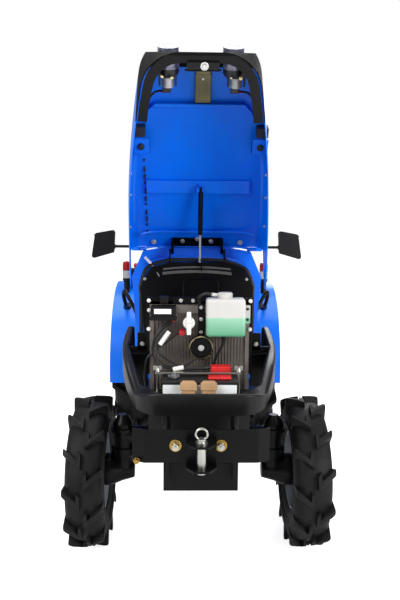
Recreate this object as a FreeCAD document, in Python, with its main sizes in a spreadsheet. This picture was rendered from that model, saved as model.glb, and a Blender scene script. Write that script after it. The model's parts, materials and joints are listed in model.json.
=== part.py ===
"""Compact four-wheel-drive tractor, parked with its hood open.

Millimetres. The tractor faces -Y, so that +X is its driver's left, and +Z is up. The origin is on
the ground under the middle of the whole machine. Every driving size is a cell of the sheet "Dims",
and places along the tractor are measured from the front axle.
"""
import FreeCAD, Part
import math
import os
import re
import Sketcher

V = FreeCAD.Vector
X_AXIS, Y_AXIS, Z_AXIS = V(1, 0, 0), V(0, 1, 0), V(0, 0, 1)

doc = FreeCAD.newDocument("CompactTractor")
sheet = doc.addObject("Spreadsheet::Sheet", "Dims")
nodes = []


# ---------------------------------------------------------------- the sheet of driving sizes

def bound(text):
    """The expression with each size's name pointed at its cell."""
    return re.sub(r"[a-z][a-z_]*", lambda m: "Dims." + m.group(0) if m.group(0) in SIZES else m.group(0),
                  str(text))


def value(text):
    """The number that an expression gives now."""
    found = sheet.evalExpression(bound(text))
    return float(getattr(found, "Value", found))


def bind(thing, **sizes):
    """Binds properties of a document object to expressions."""
    for prop, text in sizes.items():
        thing.setExpression(prop, bound(text))
    return thing


def place(thing, at=("0", "0", "0"), axis=Z_AXIS, angle="0"):
    """Places an object, turned about an axis, with its place and angle bound to the sheet."""
    thing.Placement = FreeCAD.Placement(V(0, 0, 0), FreeCAD.Rotation(axis, value(angle)))
    for letter, text in zip("xyz", at):
        thing.setExpression("Placement.Base." + letter, bound(text))
    if str(angle) != "0":
        thing.setExpression("Placement.Rotation.Angle", bound("(%s) * 1deg" % angle))
    return thing


# ---------------------------------------------------------------- ways of making solids

def make(kind, label):
    thing = doc.addObject(kind, label)
    thing.Label = label
    return thing


def box(label, x, y, z):
    """A block from three (low, high) pairs of expressions."""
    block = make("Part::Box", label)
    bind(block, Length="(%s) - (%s)" % (x[1], x[0]), Width="(%s) - (%s)" % (y[1], y[0]),
         Height="(%s) - (%s)" % (z[1], z[0]))
    return place(block, (x[0], y[0], z[0]))


def rod(label, radius, length, at, axis="z"):
    """A round bar from a point along +X, +Y or +Z."""
    bar = bind(make("Part::Cylinder", label), Radius=radius, Height=length)
    turn = {"x": (Y_AXIS, "90"), "y": (X_AXIS, "-90"), "z": (Z_AXIS, "0")}[axis]
    return place(bar, at, *turn)


def leaning_rod(label, radius, start, end):
    """A round bar between two points of the YZ plane, each (x, y, z)."""
    run = "(%s) - (%s)" % (end[1], start[1])
    rise = "(%s) - (%s)" % (end[2], start[2])
    bar = bind(make("Part::Cylinder", label), Radius=radius, Height="sqrt((%s)^2 + (%s)^2)" % (run, rise))
    return place(bar, start, X_AXIS, "-atan2(%s; %s) / 1deg" % (run, rise))


def fused(label, *parts):
    whole = make("Part::MultiFuse", label)
    whole.Shapes = list(parts)
    whole.Refine = True
    return whole


def cut(label, base, *tools):
    """The base with each tool taken away."""
    tool = tools[0] if len(tools) == 1 else fused(label + "_tools", *tools)
    whole = make("Part::Cut", label)
    whole.Base, whole.Tool = base, tool
    whole.Refine = True
    return whole


def common(label, one, other):
    whole = make("Part::Common", label)
    whole.Base, whole.Tool = one, other
    return whole


def group(label, *parts):
    """Like pieces that don't touch, kept as one node."""
    whole = make("Part::Compound", label)
    whole.Links = list(parts)
    return whole


def node(thing, label=None):
    """Marks an object as a sub-part: its label names its file."""
    if label:
        thing.Label = label
    nodes.append(thing)
    return thing


def body(label):
    return make("PartDesign::Body", label)


def tangent_arc(start, heading, end):
    """The arc that leaves start along heading and arrives at end, and whether it runs forward."""
    across = V(-heading.y, heading.x, 0)
    chord = end - start
    radius = chord.dot(chord) / (2 * across.dot(chord))
    centre = start + across * radius
    first, last = start - centre, end - centre
    forward = radius > 0
    if not forward:
        first, last = last, first
    low, high = math.atan2(first.y, first.x), math.atan2(last.y, last.x)
    if high < low:
        high += 2 * math.pi
    circle = Part.Circle(centre, Z_AXIS, abs(radius))
    return Part.ArcOfCircle(circle, low, high), centre, forward


def outline(sketch, points):
    """Draws a closed outline. Each corner is (x, y) in expressions, bound to the sheet; a third
    entry "arc" makes the stretch that leaves the corner an arc tangent to the one before."""
    first = sketch.GeometryCount
    corners = [V(value(p[0]), value(p[1]), 0) for p in points]
    count = len(corners)
    heading = None
    ends = []
    for i, here in enumerate(corners):
        there = corners[(i + 1) % count]
        if len(points[i]) > 2:
            arc, centre, forward = tangent_arc(here, heading, there)
            sketch.addGeometry(arc, False)
            ends.append((1, 2) if forward else (2, 1))
            spoke = there - centre
            heading = V(-spoke.y, spoke.x, 0) * (1 if forward else -1)
        else:
            sketch.addGeometry(Part.LineSegment(here, there), False)
            ends.append((1, 2))
            heading = there - here
        heading.normalize()
    for i, point in enumerate(points):
        before = (i - 1) % count
        joint = "Tangent" if len(point) > 2 else "Coincident"
        sketch.addConstraint(Sketcher.Constraint(joint, first + before, ends[before][1],
                                                 first + i, ends[i][0]))
        for way, text in (("DistanceX", point[0]), ("DistanceY", point[1])):
            kept = sketch.addConstraint(
                Sketcher.Constraint(way, -1, 1, first + i, ends[i][0], value(text)))
            sketch.setExpression("Constraints[%d]" % kept, bound(text))


def draw(solid, label, plane, outlines, offset="0"):
    """A sketch on one of the body's own planes, moved along its normal by offset."""
    sketch = solid.newObject("Sketcher::SketchObject", label)
    support = [p for p in solid.Origin.OriginFeatures if p.Role == plane + "_Plane"][0]
    sketch.AttachmentSupport = [(support, "")]
    sketch.MapMode = "FlatFace"
    if str(offset) != "0":
        sketch.setExpression("AttachmentOffset.Base.z", bound(offset))
    for points in outlines:
        outline(sketch, points)
    return sketch


def pad(solid, label, plane, points, length, offset="0", both=False, back=False):
    """Pads one or more outlines. Planes: XY goes up, XZ goes to -Y, YZ goes to +X."""
    outlines = points if isinstance(points[0][0], tuple) else [points]
    feature = solid.newObject("PartDesign::Pad", label)
    feature.Profile = draw(solid, label + "_sketch", plane, outlines, offset)
    feature.Midplane = both
    feature.Reversed = back
    return bind(feature, Length=length)


def pocket(solid, label, plane, points, length, offset="0", both=False, back=False):
    """Cuts outlines away. XY goes down, XZ goes to +Y, YZ goes to -X, or back the other way."""
    outlines = points if isinstance(points[0][0], tuple) else [points]
    feature = solid.newObject("PartDesign::Pocket", label)
    feature.Profile = draw(solid, label + "_sketch", plane, outlines, offset)
    feature.Midplane = both
    feature.Reversed = back
    return bind(feature, Length=length)


def revolve(solid, label, plane, points, axis="H_Axis", kind="Revolution"):
    """Turns an outline right round one of its plane's axes, to add it or, as a Groove, to cut it."""
    feature = solid.newObject("PartDesign::" + kind, label)
    sketch = draw(solid, label + "_sketch", plane, [points])
    feature.Profile = sketch
    feature.ReferenceAxis = (sketch, [axis])
    feature.Angle = 360
    return feature


def hoop(label, radius, thickness):
    """A ring of eight-sided section about the Z axis."""
    solid = body(label)
    corners = [(radius + " + %s * cos(%d * 1deg)" % (thickness, turn), "%s * sin(%d * 1deg)" % (thickness, turn))
               for turn in range(22, 360, 45)]
    revolve(solid, label + "_section", "XZ", corners, "V_Axis")
    return solid


def eased(solid, label, kind, wanted):
    """A fillet or chamfer on the edges of the body's shape so far that the test picks."""
    doc.recompute()
    base = solid.Tip
    picked = ["Edge%d" % (i + 1) for i, edge in enumerate(base.Shape.Edges) if wanted(edge)]
    feature = solid.newObject("PartDesign::" + kind, label)
    feature.Base = (base, picked)
    return feature


def round_edges(solid, label, radius, wanted):
    return bind(eased(solid, label, "Fillet", wanted), Radius=radius)


def chamfer_edges(solid, label, size, wanted):
    return bind(eased(solid, label, "Chamfer", wanted), Size=size)


def runs_along(axis, edge):
    """True for a straight edge that runs along an axis."""
    if edge.Curve.TypeId != "Part::GeomLine":
        return False
    run = edge.Vertexes[1].Point - edge.Vertexes[0].Point
    return abs(abs(run.dot(axis)) - run.Length) < 1e-6


def centre_of(edge):
    return edge.valueAt((edge.FirstParameter + edge.LastParameter) / 2)


# ---------------------------------------------------------------- driving sizes

SIZES = {
    # wheels and tyres
    "wheelbase": 1420, "front_tyre_radius": 290, "front_tyre_width": 140, "front_lug_height": 22,
    "front_lug_width": 26, "front_lugs": 12, "front_rim_radius": 152, "front_rim_width": 100,
    "front_disc_offset": -10, "front_wheel_middle": 418, "kingpin_middle": 298, "rear_tyre_radius": 440,
    "rear_tyre_width": 205, "rear_lug_height": 30, "rear_lug_width": 36, "rear_lugs": 14,
    "rear_rim_radius": 229, "rear_rim_width": 150, "rear_disc_offset": 10, "rear_wheel_middle": 356,
    "rim_thickness": 6, "disc_thickness": 8, "disc_flat": 74, "disc_dish": 26,
    "hand_hole": 26, "hand_holes": 8, "front_tyre_shoulder": 34,
    "rear_tyre_shoulder": 48, "running_gap": 0.3,
    # front axle
    "axle_height": 400, "axle_tube_radius": 46, "axle_tube_taper": 10, "axle_flange": 9,
    "bevel_case_radius": 38, "bevel_case_top": 515, "bevel_case_cone": 34, "knuckle_top": 385,
    "knuckle_radius": 46, "knuckle_bottom": 258, "hub_radius": 62, "hub_flange": 70,
    "hub_flange_thickness": 9, "steering_arm": 105,
    # front frame
    "rail_outside": 112, "rail_thickness": 12, "rail_bottom": 450, "rail_top": 515, "rail_front": -492,
    "rail_back": 79.7, "upright_back": -420, "upright_top": 600, "front_plate_half": 120,
    "front_plate_bottom": 405, "front_plate_top": 498, "pivot_half": 75, "pivot_plate": 20,
    # bumper and hitch
    "bumper_front": -500, "bumper_thickness": 8, "bumper_bottom": 510, "bumper_top": 617,
    "bumper_flat_half": 180, "bumper_half": 218, "bumper_sweep": 20, "hitch_reach": 580,
    "hitch_half": 48, "hitch_pin_ahead": -546, "hitch_top": 590, "hitch_bottom": 505, "hitch_plate": 8,
    "pin_radius": 14, "pin_bottom": 494, "pin_top": 606, "pin_play": 0.5, "ring_radius": 18,
    "ring_wire": 3.5,
    # surround
    "ring_front": -400, "ring_front_depth": 75, "ring_back": 200, "ring_height": 90, "ring_low": 632,
    "ring_slope": 11.3, "ring_flat_half": 130, "ring_mid_half": 294, "ring_arm": 30,
    "ring_corner": 98, "ring_turn": 70, "ring_round": 13,
    # battery
    "battery_half": 132, "battery_front": -322, "battery_back": -162, "battery_bottom": 527,
    "battery_top": 727, "tray_thickness": 12,
    # radiator
    "radiator_front": -95, "radiator_back": -45, "radiator_half": 186, "core_half": 170,
    "core_bottom": 560, "core_top": 930, "tank_top": 975, "radiator_foot": 515, "fins": 30,
    "fin_thickness": 2, "fin_depth": 5, "shroud_depth": 42, "shroud_half": 165, "shroud_bore": 150,
    # engine
    "engine_front": 80, "engine_back": 430, "engine_half": 150, "pan_half": 110, "pan_bottom": 410,
    "block_bottom": 500, "block_half": 112, "block_top": 712, "head_half": 88, "head_top": 782,
    "valve_cover_half": 62, "engine_top": 860, "clutch_back": 600, "crank_height": 600,
    "crank_pulley": 66, "fan_height": 755, "fan_radius": 138, "fan_blades": 6, "pulley_radius": 42,
    "muffler_radius": 48, "air_cleaner_radius": 55,
    # firewall and dash
    "firewall_front": 590, "firewall_thickness": 10, "firewall_half": 272, "firewall_shoulder": 960,
    "firewall_top": 1080, "dash_front": 612, "dash_step": 700, "dash_back": 800, "dash_half": 322,
    "dash_rim_half": 285, "dash_rim_top": 1103, "dash_top": 1150, "dash_bottom": 560,
    # hood
    "hood_hinge_behind": 650, "hood_hinge_height": 1130, "hood_open": 63, "hood_front": -356,
    "hood_front_top": -294, "hood_seat_gap": 6, "hood_nose_top": 1018, "hood_rear_top": 1175,
    "hood_wall": 4, "hood_round": 44, "hood_flat_half": 70, "hood_corner": 150,
    "hood_mid_behind": 150, "hood_mid_half": 288, "hood_rear_half": 290, "hood_lean": 5, "hood_split": -235,
    "hood_split_low": -95, "hood_arm_end": 225, "hood_tip_behind": 601, "hood_tip_height": 716,
    "hood_tip_length": 50, "hood_tip_rise": 190,
    "hinge_arm_middle": 119, "brace_half": 232, "brace_thickness": 12, "hinge_pin_radius": 6, "lamp_across": 120, "lamp_height": 880,
    "lamp_radius": 40,
    # strut
    "strut_across": 12, "strut_top_behind": 299, "strut_top_height": 1068, "strut_eye_behind": 560,
    "strut_eye_height": 1085, "stud_radius": 5, "strut_tube_radius": 11, "strut_rod_radius": 5,
    "strut_tube_length": 215,
    # gearbox and deck
    "gearbox_half": 115, "gearbox_bottom": 330, "gearbox_top": 560, "gearbox_chamfer": 28,
    "trumpet_radius": 70,
    "trumpet_half": 245, "gearbox_behind": 130, "deck_height": 425, "deck_thickness": 6,
    "deck_inside": 130, "deck_half": 345, "deck_front": 670,
    # fenders
    "fender_inside": 236, "fender_outside": 466, "fender_gap": 30, "fender_wall": 4, "fender_low": 400,
    # seat and roll bar
    "seat_middle": 1300, "seat_half": 225, "seat_pan_height": 690, "seat_back_top": 1060,
    "rops_middle": 190, "rops_across": 205, "rops_tube": 50, "rops_low": 510.3, "rops_fold": 1220,
    "rops_top": 2150,
    # rear linkage
    "output_radius": 17.46, "shaft_behind": 90, "shaft_height": 640, "shaft_radius": 24,
    "top_pivot_behind": 160, "top_pivot_height": 545, "lift_arm": 235, "lift_across": 140,
    "link_pivot_behind": 90, "link_pivot_height": 330, "link_pivot_across": 150, "link_length": 560,
    "link_ball_across": 200, "ball_bore": 11.2, "ball_radius": 25,
    # steering wheel and column
    "wheel_behind": 865, "wheel_height": 1150, "wheel_lean": 38, "wheel_radius": 180, "wheel_rim": 13,
    "column_length": 190, "column_radius": 28,
}
for row, (name, size) in enumerate(SIZES.items(), start=1):
    sheet.set("A%d" % row, name.replace("_", " "))
    sheet.set("B%d" % row, str(size))
    sheet.setAlias("B%d" % row, name)
sheet.recompute()

FRONT = "((hitch_reach - wheelbase - link_pivot_behind - link_length - ball_radius) / 2)"
REAR = "(%s + wheelbase)" % FRONT


def behind(text):
    """Y of a place measured rearwards from the front axle."""
    return "%s + (%s)" % (FRONT, text)


def aft(text):
    """Y of a place measured rearwards from the rear axle."""
    return "%s + (%s)" % (REAR, text)


# ---------------------------------------------------------------- wheels

def tyre(label, end, side):
    """An R-1 farm tyre: a many-sided carcass and two staggered rows of long angled bars."""
    size = {key: "%s_%s" % (end, key) for key in
            ("tyre_radius", "tyre_width", "lug_height", "lug_width", "rim_radius", "rim_width")}
    half = "%s / 2" % size["tyre_width"]
    crown = "%s - %s" % (size["tyre_radius"], size["lug_height"])
    wall = "(%s - %s)" % (size["tyre_radius"], size["rim_radius"])
    solid = body(label)
    flats = 2 * int(value(end + "_lugs"))
    corner = "(%s) / %.9f" % (crown, math.cos(math.pi / flats))
    turns = [90 + (i + 0.5) * 360 / flats for i in range(flats)]
    drum = pad(solid, label + "_drum", "YZ", [("%s * cos(%.7f * 1deg)" % (corner, turn),
                                               "%s * sin(%.7f * 1deg)" % (corner, turn)) for turn in turns],
               size["tyre_width"], both=True)
    edge_of_side = lambda edge: abs(abs(centre_of(edge).x) - value(half)) < 0.01
    chamfer_edges(solid, label + "_shoulder", end + "_tyre_shoulder", edge_of_side)
    pitch = 360 / value(end + "_lugs")
    reach = "(0.78 * %s)" % half
    depth = "%s + 0.3 * %s" % (size["lug_height"], wall)
    top = "sqrt(%s^2 - ((%s + %s) / 2)^2)" % (size["tyre_radius"], reach, size["lug_width"])
    bars = []
    for row, turn in ((-1, 0), (1, pitch / 2)):
        inner, outer = "%d * 3" % row, "%d * %s" % (row, half)
        low, high = "(-(%s + %s) / 2)" % (reach, size["lug_width"]), "((%s + %s) / 2)" % (reach, size["lug_width"])
        corners = [(inner, low), (outer, "%s - %s" % (high, size["lug_width"])), (outer, high),
                   (inner, "%s + %s" % (low, size["lug_width"]))]
        bar = pad(solid, "%s_bar%d" % (label, row), "XY", corners, depth, back=True)
        sketch = bar.Profile[0]
        angle = math.radians(turn)
        sketch.AttachmentOffset = FreeCAD.Placement(V(0, 0, 0), FreeCAD.Rotation(X_AXIS, turn))
        sketch.setExpression("AttachmentOffset.Base.y", bound("-(%s) * %r" % (top, math.sin(angle))))
        sketch.setExpression("AttachmentOffset.Base.z", bound("(%s) * %r" % (top, math.cos(angle))))
        bars.append(bar)
    around = solid.newObject("PartDesign::PolarPattern", label + "_bars")
    around.Originals = bars
    around.Axis = (drum.Profile[0], ["N_Axis"])
    around.Angle = 360
    bind(around, Occurrences=end + "_lugs")
    solid.Tip = around
    revolve(solid, label + "_bore", "XZ", [("-" + half, "0"), (half, "0"), (half, size["rim_radius"]),
                                           ("-" + half, size["rim_radius"])], kind="Groove")
    chamfer_edges(solid, label + "_bead", "(%s - %s) / 2" % (size["tyre_width"], size["rim_width"]),
                  lambda edge: edge_of_side(edge) and edge.Curve.TypeId == "Part::GeomCircle")
    return wheel_place(solid, end, side)


def wheel_place(solid, end, side):
    middle = behind("0") if end == "front" else aft("0")
    return place(solid, ("%d * %s_wheel_middle" % (side, end), middle, end + "_tyre_radius"))


def rim(label, end, side):
    """A pressed steel wheel: a rolled barrel with a dished disc welded in."""
    outer = "%s_rim_radius" % end
    bead = "%s_rim_width / 2" % end
    inner = "(%s - rim_thickness)" % outer
    disc = "%d * %s_disc_offset" % (side, end)
    rise = "%d * disc_dish" % side
    wall = "%d * disc_thickness" % side
    solid = body(label)
    revolve(solid, label + "_section", "XZ", [
        ("%d * %s" % (-side, bead), outer), ("%d * %s" % (side, bead), outer),
        ("%d * %s" % (side, bead), inner), ("%s + %s + %s" % (disc, rise, wall), inner),
        ("%s + %s + %s" % (disc, rise, wall), "0.8 * " + inner),
        ("%s + %s" % (disc, wall), "disc_flat + disc_thickness / 2"), ("%s + %s" % (disc, wall), "0"),
        (disc, "0"), (disc, "disc_flat"), ("%s + %s" % (disc, rise), "0.8 * " + inner),
        ("%s + %s" % (disc, rise), inner), ("%d * %s" % (-side, bead), inner)])
    hole = pocket(solid, label + "_hand_hole", "YZ", hand_hole("0.62 * " + inner, "hand_hole / 2"), "400", both=True)
    around = solid.newObject("PartDesign::PolarPattern", label + "_hand_holes")
    around.Originals = [hole]
    around.Axis = (hole.Profile[0], ["N_Axis"])
    around.Angle = 360
    bind(around, Occurrences="hand_holes")
    solid.Tip = around
    return wheel_place(solid, end, side)


def hand_hole(middle, radius):
    """An eight-sided hole about a place up the Z axis."""
    return [("%s * cos(%d * 1deg)" % (radius, turn), "%s + %s * sin(%d * 1deg)" % (middle, radius, turn))
            for turn in range(22, 360, 45)]


for side, word in ((-1, "right"), (1, "left")):
    for end in ("front", "rear"):
        node(tyre("%s_tyre_%s" % (end, word), end, side))
        node(rim("%s_rim_%s" % (end, word), end, side))


# ---------------------------------------------------------------- front axle

def front_axle():
    """Tapered beam of cast tubes with a flanged bevel gear case over each kingpin."""
    tube_end = "(kingpin_middle - knuckle_radius - 8)"
    beam = body("axle_beam")
    thin, flange = "(axle_tube_radius - axle_tube_taper)", "(axle_tube_radius + axle_flange)"
    revolve(beam, "beam_section", "XZ", [
        ("-" + tube_end, "0"), ("-" + tube_end, thin), ("-pivot_half - 18", "axle_tube_radius"),
        ("-pivot_half - 18", flange), ("18 + pivot_half", flange), ("18 + pivot_half", "axle_tube_radius"),
        (tube_end, thin), (tube_end, "0")])
    parts = [place(beam, ("0", behind("0"), "axle_height")),
             rod("axle_boss", "axle_tube_radius + 8", "2 * (pivot_half - pivot_plate - running_gap)",
                 ("0", behind("pivot_plate - pivot_half + running_gap"), "axle_height"), "y")]
    joint = "axle_height + bevel_case_radius + 12"
    for side in (-1, 1):
        case = body("bevel_case%d" % side)
        revolve(case, "bevel_section%d" % side, "XZ", [
            ("0", "knuckle_top"), ("bevel_case_radius", "knuckle_top"), ("bevel_case_radius", joint),
            ("bevel_case_radius + axle_flange", joint), ("bevel_case_radius + axle_flange", joint + " + 12"),
            ("bevel_case_radius", joint + " + 12"), ("bevel_case_radius", "bevel_case_top - bevel_case_cone"),
            ("bevel_case_radius - bevel_case_cone * 0.6", "bevel_case_top"), ("0", "bevel_case_top")], "V_Axis")
        parts.append(place(case, ("%d * kingpin_middle" % side, behind("0"), "0")))
        inner = tube_end + " - 50"
        parts.append(rod("axle_neck%d" % side, "bevel_case_radius - 2", "kingpin_middle - (%s)" % inner,
                         (inner if side > 0 else "-kingpin_middle", behind("0"),
                          "axle_height + bevel_case_radius - 7"), "x"))
    return cut("front_axle", fused("axle_body", *parts),
               rod("axle_bore", "pin_radius + 6.05", "2 * pivot_half",
                   ("0", behind("-pivot_half"), "axle_height"), "y"))


def knuckle(label, side):
    """Final drive case, which steers about its kingpin, with the flared hub that carries the wheel."""
    middle = "%d * kingpin_middle" % side
    disc = "(front_wheel_middle + front_disc_offset - running_gap)"
    flange = "(%s - hub_flange_thickness)" % disc

    def across(text):
        return "%d * (%s)" % (side, text)

    hub = body(label + "_hub")
    revolve(hub, label + "_hub_section", "XZ", [
        (across("kingpin_middle - knuckle_radius"), "0"), (across("kingpin_middle - knuckle_radius"), "0.5 * hub_radius"),
        (across("kingpin_middle"), "0.7 * hub_radius"), (across("kingpin_middle + knuckle_radius"), "hub_radius"),
        (across(flange + " - 14"), "hub_radius"), (across(flange), "0.8 * hub_radius"), (across(flange), "hub_flange"),
        (across(disc), "hub_flange"), (across(disc), "0")])
    case = body(label + "_case")
    revolve(case, label + "_case_section", "XZ", [
        ("0", "knuckle_bottom"), ("0.6 * knuckle_radius", "knuckle_bottom"),
        ("0.85 * knuckle_radius", "knuckle_bottom + 12"), ("0.85 * knuckle_radius", "knuckle_top - 40"),
        ("knuckle_radius", "knuckle_top - 28"), ("knuckle_radius", "knuckle_top - running_gap"),
        ("0", "knuckle_top - running_gap")], "V_Axis")
    return fused(label, place(hub, ("0", behind("0"), "front_tyre_radius")),
                 place(case, (middle, behind("0"), "0")),
                 box(label + "_arm", ("%s - 14" % middle, "%s + 14" % middle),
                     (behind("0"), behind("steering_arm")),
                     ("front_tyre_radius + 20", "front_tyre_radius + 38")))


node(front_axle())
node(knuckle("knuckle_right", -1))
node(knuckle("knuckle_left", 1))


# ---------------------------------------------------------------- front frame, bumper and hitch

def front_frame():
    """Two upright side plates with cross plates, and the plates that hold the axle's pivot."""
    parts = []
    for side in (-1, 1):
        near_x = "rail_outside - rail_thickness" if side > 0 else "-rail_outside"
        far_x = "rail_outside" if side > 0 else "rail_thickness - rail_outside"
        parts.append(box("rail%d" % side, (near_x, far_x), (behind("rail_front"), behind("rail_back")),
                         ("rail_bottom", "rail_top")))
        parts.append(box("upright%d" % side, (near_x, far_x), (behind("rail_front"), behind("upright_back")),
                         ("rail_top", "upright_top")))
        parts.append(box("ring_post%d" % side, (near_x, far_x), (behind("ring_front"), behind("ring_front + 25")),
                         ("rail_top", "ring_low - running_gap")))
        plate = ("pivot_half - pivot_plate", "pivot_half") if side > 0 else ("-pivot_half", "pivot_plate - pivot_half")
        parts.append(box("pivot%d" % side, ("rail_thickness - rail_outside", "rail_outside - rail_thickness"),
                         (behind(plate[0]), behind(plate[1])), ("axle_height - 60", "rail_top")))
    parts.append(box("front_plate", ("-front_plate_half", "front_plate_half"),
                     (behind("rail_front + 22"), behind("rail_front + 30")),
                     ("front_plate_bottom", "front_plate_top")))
    parts.append(box("deck_plate", ("rail_thickness - rail_outside", "rail_outside - rail_thickness"),
                     (behind("rail_front + 30"), behind("radiator_back")), ("rail_top - 8", "rail_top")))
    parts.append(rod("pivot_pin", "pin_radius + 6", "2 * pivot_half",
                     ("0", behind("-pivot_half"), "axle_height"), "y"))
    return fused("front_frame", *parts)


def front_bumper():
    """A bent steel bar, its ends swept back."""
    solid = body("front_bumper")
    face, back = behind("bumper_front"), behind("bumper_front + bumper_thickness")
    swept = behind("bumper_front + bumper_sweep")
    swept_back = behind("bumper_front + bumper_sweep + bumper_thickness")
    pad(solid, "bumper_bar", "XY", [
        ("-bumper_half", swept), ("-bumper_flat_half", face), ("bumper_flat_half", face),
        ("bumper_half", swept), ("bumper_half", swept_back), ("bumper_flat_half", back),
        ("-bumper_flat_half", back), ("-bumper_half", swept_back)],
        "bumper_top - bumper_bottom", offset="bumper_bottom")
    return solid


def front_hitch():
    """Two plates that stand out of the bumper, bored for the towing pin."""
    parts = []
    for name, low in (("upper", "hitch_top - hitch_plate"), ("lower", "hitch_bottom")):
        solid = body("hitch_" + name)
        pad(solid, name + "_lug", "XY", [
            ("-hitch_half", behind("bumper_front")), ("-hitch_half", behind("hitch_pin_ahead")),
            ("-hitch_half / 2", behind("-hitch_reach")), ("hitch_half / 2", behind("-hitch_reach")),
            ("hitch_half", behind("hitch_pin_ahead")), ("hitch_half", behind("bumper_front"))],
            "hitch_plate", offset=low)
        parts.append(solid)
    web = box("hitch_web", ("-hitch_half", "hitch_half"),
              (behind("bumper_front - 8"), behind("bumper_front")), ("hitch_bottom", "hitch_top"))
    return cut("front_hitch", fused("hitch_body", web, *parts),
               rod("hitch_bore", "pin_radius + pin_play", "hitch_top - hitch_bottom + 20",
                   ("0", behind("hitch_pin_ahead"), "hitch_bottom - 10")))


def hitch_pin():
    """The towing pin, hung by its collar, with a wire ring through its head."""
    ring = hoop("pin_ring", "ring_radius", "ring_wire")
    place(ring, ("0", behind("hitch_pin_ahead"), "pin_top + ring_radius - 5"), X_AXIS, "90")
    return fused("hitch_pin", ring,
                 rod("pin_shank", "pin_radius", "pin_top - pin_bottom",
                     ("0", behind("hitch_pin_ahead"), "pin_bottom")),
                 rod("pin_collar", "pin_radius + 5", "6", ("0", behind("hitch_pin_ahead"), "hitch_top")))


node(front_frame())
node(front_bumper())
node(front_hitch())
node(hitch_pin())


# ---------------------------------------------------------------- front cowl and what stands in the bay

def cowl_ring():
    """The black surround that stays on the frame: a front bow and two arms that rise rearwards."""
    solid = body("cowl_ring")
    deep, back, inside = "ring_front_depth", "(ring_back - ring_front)", "(ring_mid_half - ring_arm)"
    turned_x = "ring_flat_half + ring_corner * sin(ring_turn * 1deg)"
    turned_y = "ring_corner - ring_corner * cos(ring_turn * 1deg)"
    half = pad(solid, "ring_half", "XY", [
        ("0", "0"), ("ring_flat_half", "0", "arc"), (turned_x, turned_y, "arc"), ("ring_mid_half", back),
        (inside, back), (inside, "0.65 * " + back), ("ring_flat_half + ring_corner - 27", deep + " + 45"),
        ("ring_flat_half", deep), ("0", deep)], "ring_height")
    twin = solid.newObject("PartDesign::Mirrored", "ring_twin")
    twin.Originals = [half]
    twin.MirrorPlane = (half.Profile[0], ["V_Axis"])
    solid.Tip = twin
    round_edges(solid, "ring_crown", "ring_round",
                lambda edge: abs(centre_of(edge).z - value("ring_height")) < 0.01
                and centre_of(edge).y < value(back) - 1)
    return place(solid, ("0", behind("ring_front"), "ring_low"), X_AXIS, "ring_slope")


def battery():
    return box("battery", ("-battery_half", "battery_half"),
               (behind("battery_front"), behind("battery_back")), ("battery_bottom", "battery_top"))


def battery_tray():
    return box("battery_tray", ("-battery_half - 8", "battery_half + 8"),
               (behind("battery_front - 8"), behind("battery_back + 8")),
               ("battery_bottom - tray_thickness", "battery_bottom"))


def radiator():
    """Finned core between two tanks, standing on the front frame, with the fan's shroud behind it."""
    core = body("radiator_core")
    front, back = behind("radiator_front + fin_depth"), behind("radiator_back")
    pad(core, "core_block", "XY", [("-core_half", front), ("core_half", front), ("core_half", back),
                                   ("-core_half", back)],
        "core_top - core_bottom", offset="core_bottom")
    first = "(fin_thickness - core_half)"
    fin = pad(core, "core_fin", "XY", [(first, behind("radiator_front")),
                                       (first + " + fin_thickness", behind("radiator_front")),
                                       (first + " + fin_thickness", front), (first, front)],
              "core_top - core_bottom", offset="core_bottom")
    row = core.newObject("PartDesign::LinearPattern", "core_fins")
    row.Originals = [fin]
    row.Direction = (fin.Profile[0], ["H_Axis"])
    bind(row, Length="2 * core_half - 3 * fin_thickness", Occurrences="fins")
    core.Tip = row
    shroud = cut("fan_shroud",
                 box("shroud_box", ("-shroud_half", "shroud_half"),
                     (behind("radiator_back"), behind("radiator_back + shroud_depth")),
                     ("fan_height - shroud_half", "fan_height + shroud_half")),
                 rod("shroud_hole", "shroud_bore", "2 * shroud_depth",
                     ("0", behind("radiator_back + 0.3 * shroud_depth"), "fan_height"), "y"),
                 box("shroud_hollow", ("6 - shroud_half", "shroud_half - 6"),
                     (behind("radiator_back + 3"), behind("radiator_back + 0.7 * shroud_depth")),
                     ("fan_height - shroud_half + 6", "fan_height + shroud_half - 6")))
    return fused("radiator", core, shroud,
                 box("top_tank", ("-core_half - 4", "core_half + 4"),
                     (behind("radiator_front - 5"), behind("radiator_back + 5")), ("core_top", "tank_top")),
                 box("low_tank", ("-core_half - 4", "core_half + 4"),
                     (behind("radiator_front - 5"), behind("radiator_back + 5")),
                     ("radiator_foot", "core_bottom")),
                 *[box("side_channel%d" % side,
                       ("core_half", "radiator_half") if side > 0 else ("-radiator_half", "-core_half"),
                       (behind("radiator_front - 5"), behind("radiator_back + 5")),
                       ("radiator_foot", "tank_top")) for side in (-1, 1)])


def coolant_bottle():
    solid = body("bottle_body")
    pad(solid, "bottle_block", "XY", [("22", behind("-175")), ("165", behind("-175")),
                                      ("165", behind("-100")), ("22", behind("-100"))],
        "140", offset="853")
    round_edges(solid, "bottle_rounds", "14", lambda edge: runs_along(Z_AXIS, edge))
    return fused("coolant_bottle", solid, rod("bottle_cap", "26", "20", ("92", behind("-138"), "993")))


def horn():
    return fused("horn", rod("horn_disc", "42", "38", ("5", behind("-150"), "810"), "y"),
                 rod("horn_stem", "10", "150 + radiator_front - running_gap", ("5", behind("-150"), "810"), "y"))


def bay_fittings():
    """Fuse box and battery tap on the front of the radiator."""
    return group("bay_fittings",
                 box("fuse_box", ("-178", "-87"), (behind("-150"), behind("-100")), ("919", "962")),
                 rod("tap", "16", "150 + radiator_front - running_gap",
                     ("-40", behind("-150"), "904"), "y"))


node(cowl_ring())
node(battery())
node(battery_tray())
node(radiator())
node(coolant_bottle())
node(horn())
node(bay_fittings())


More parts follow.
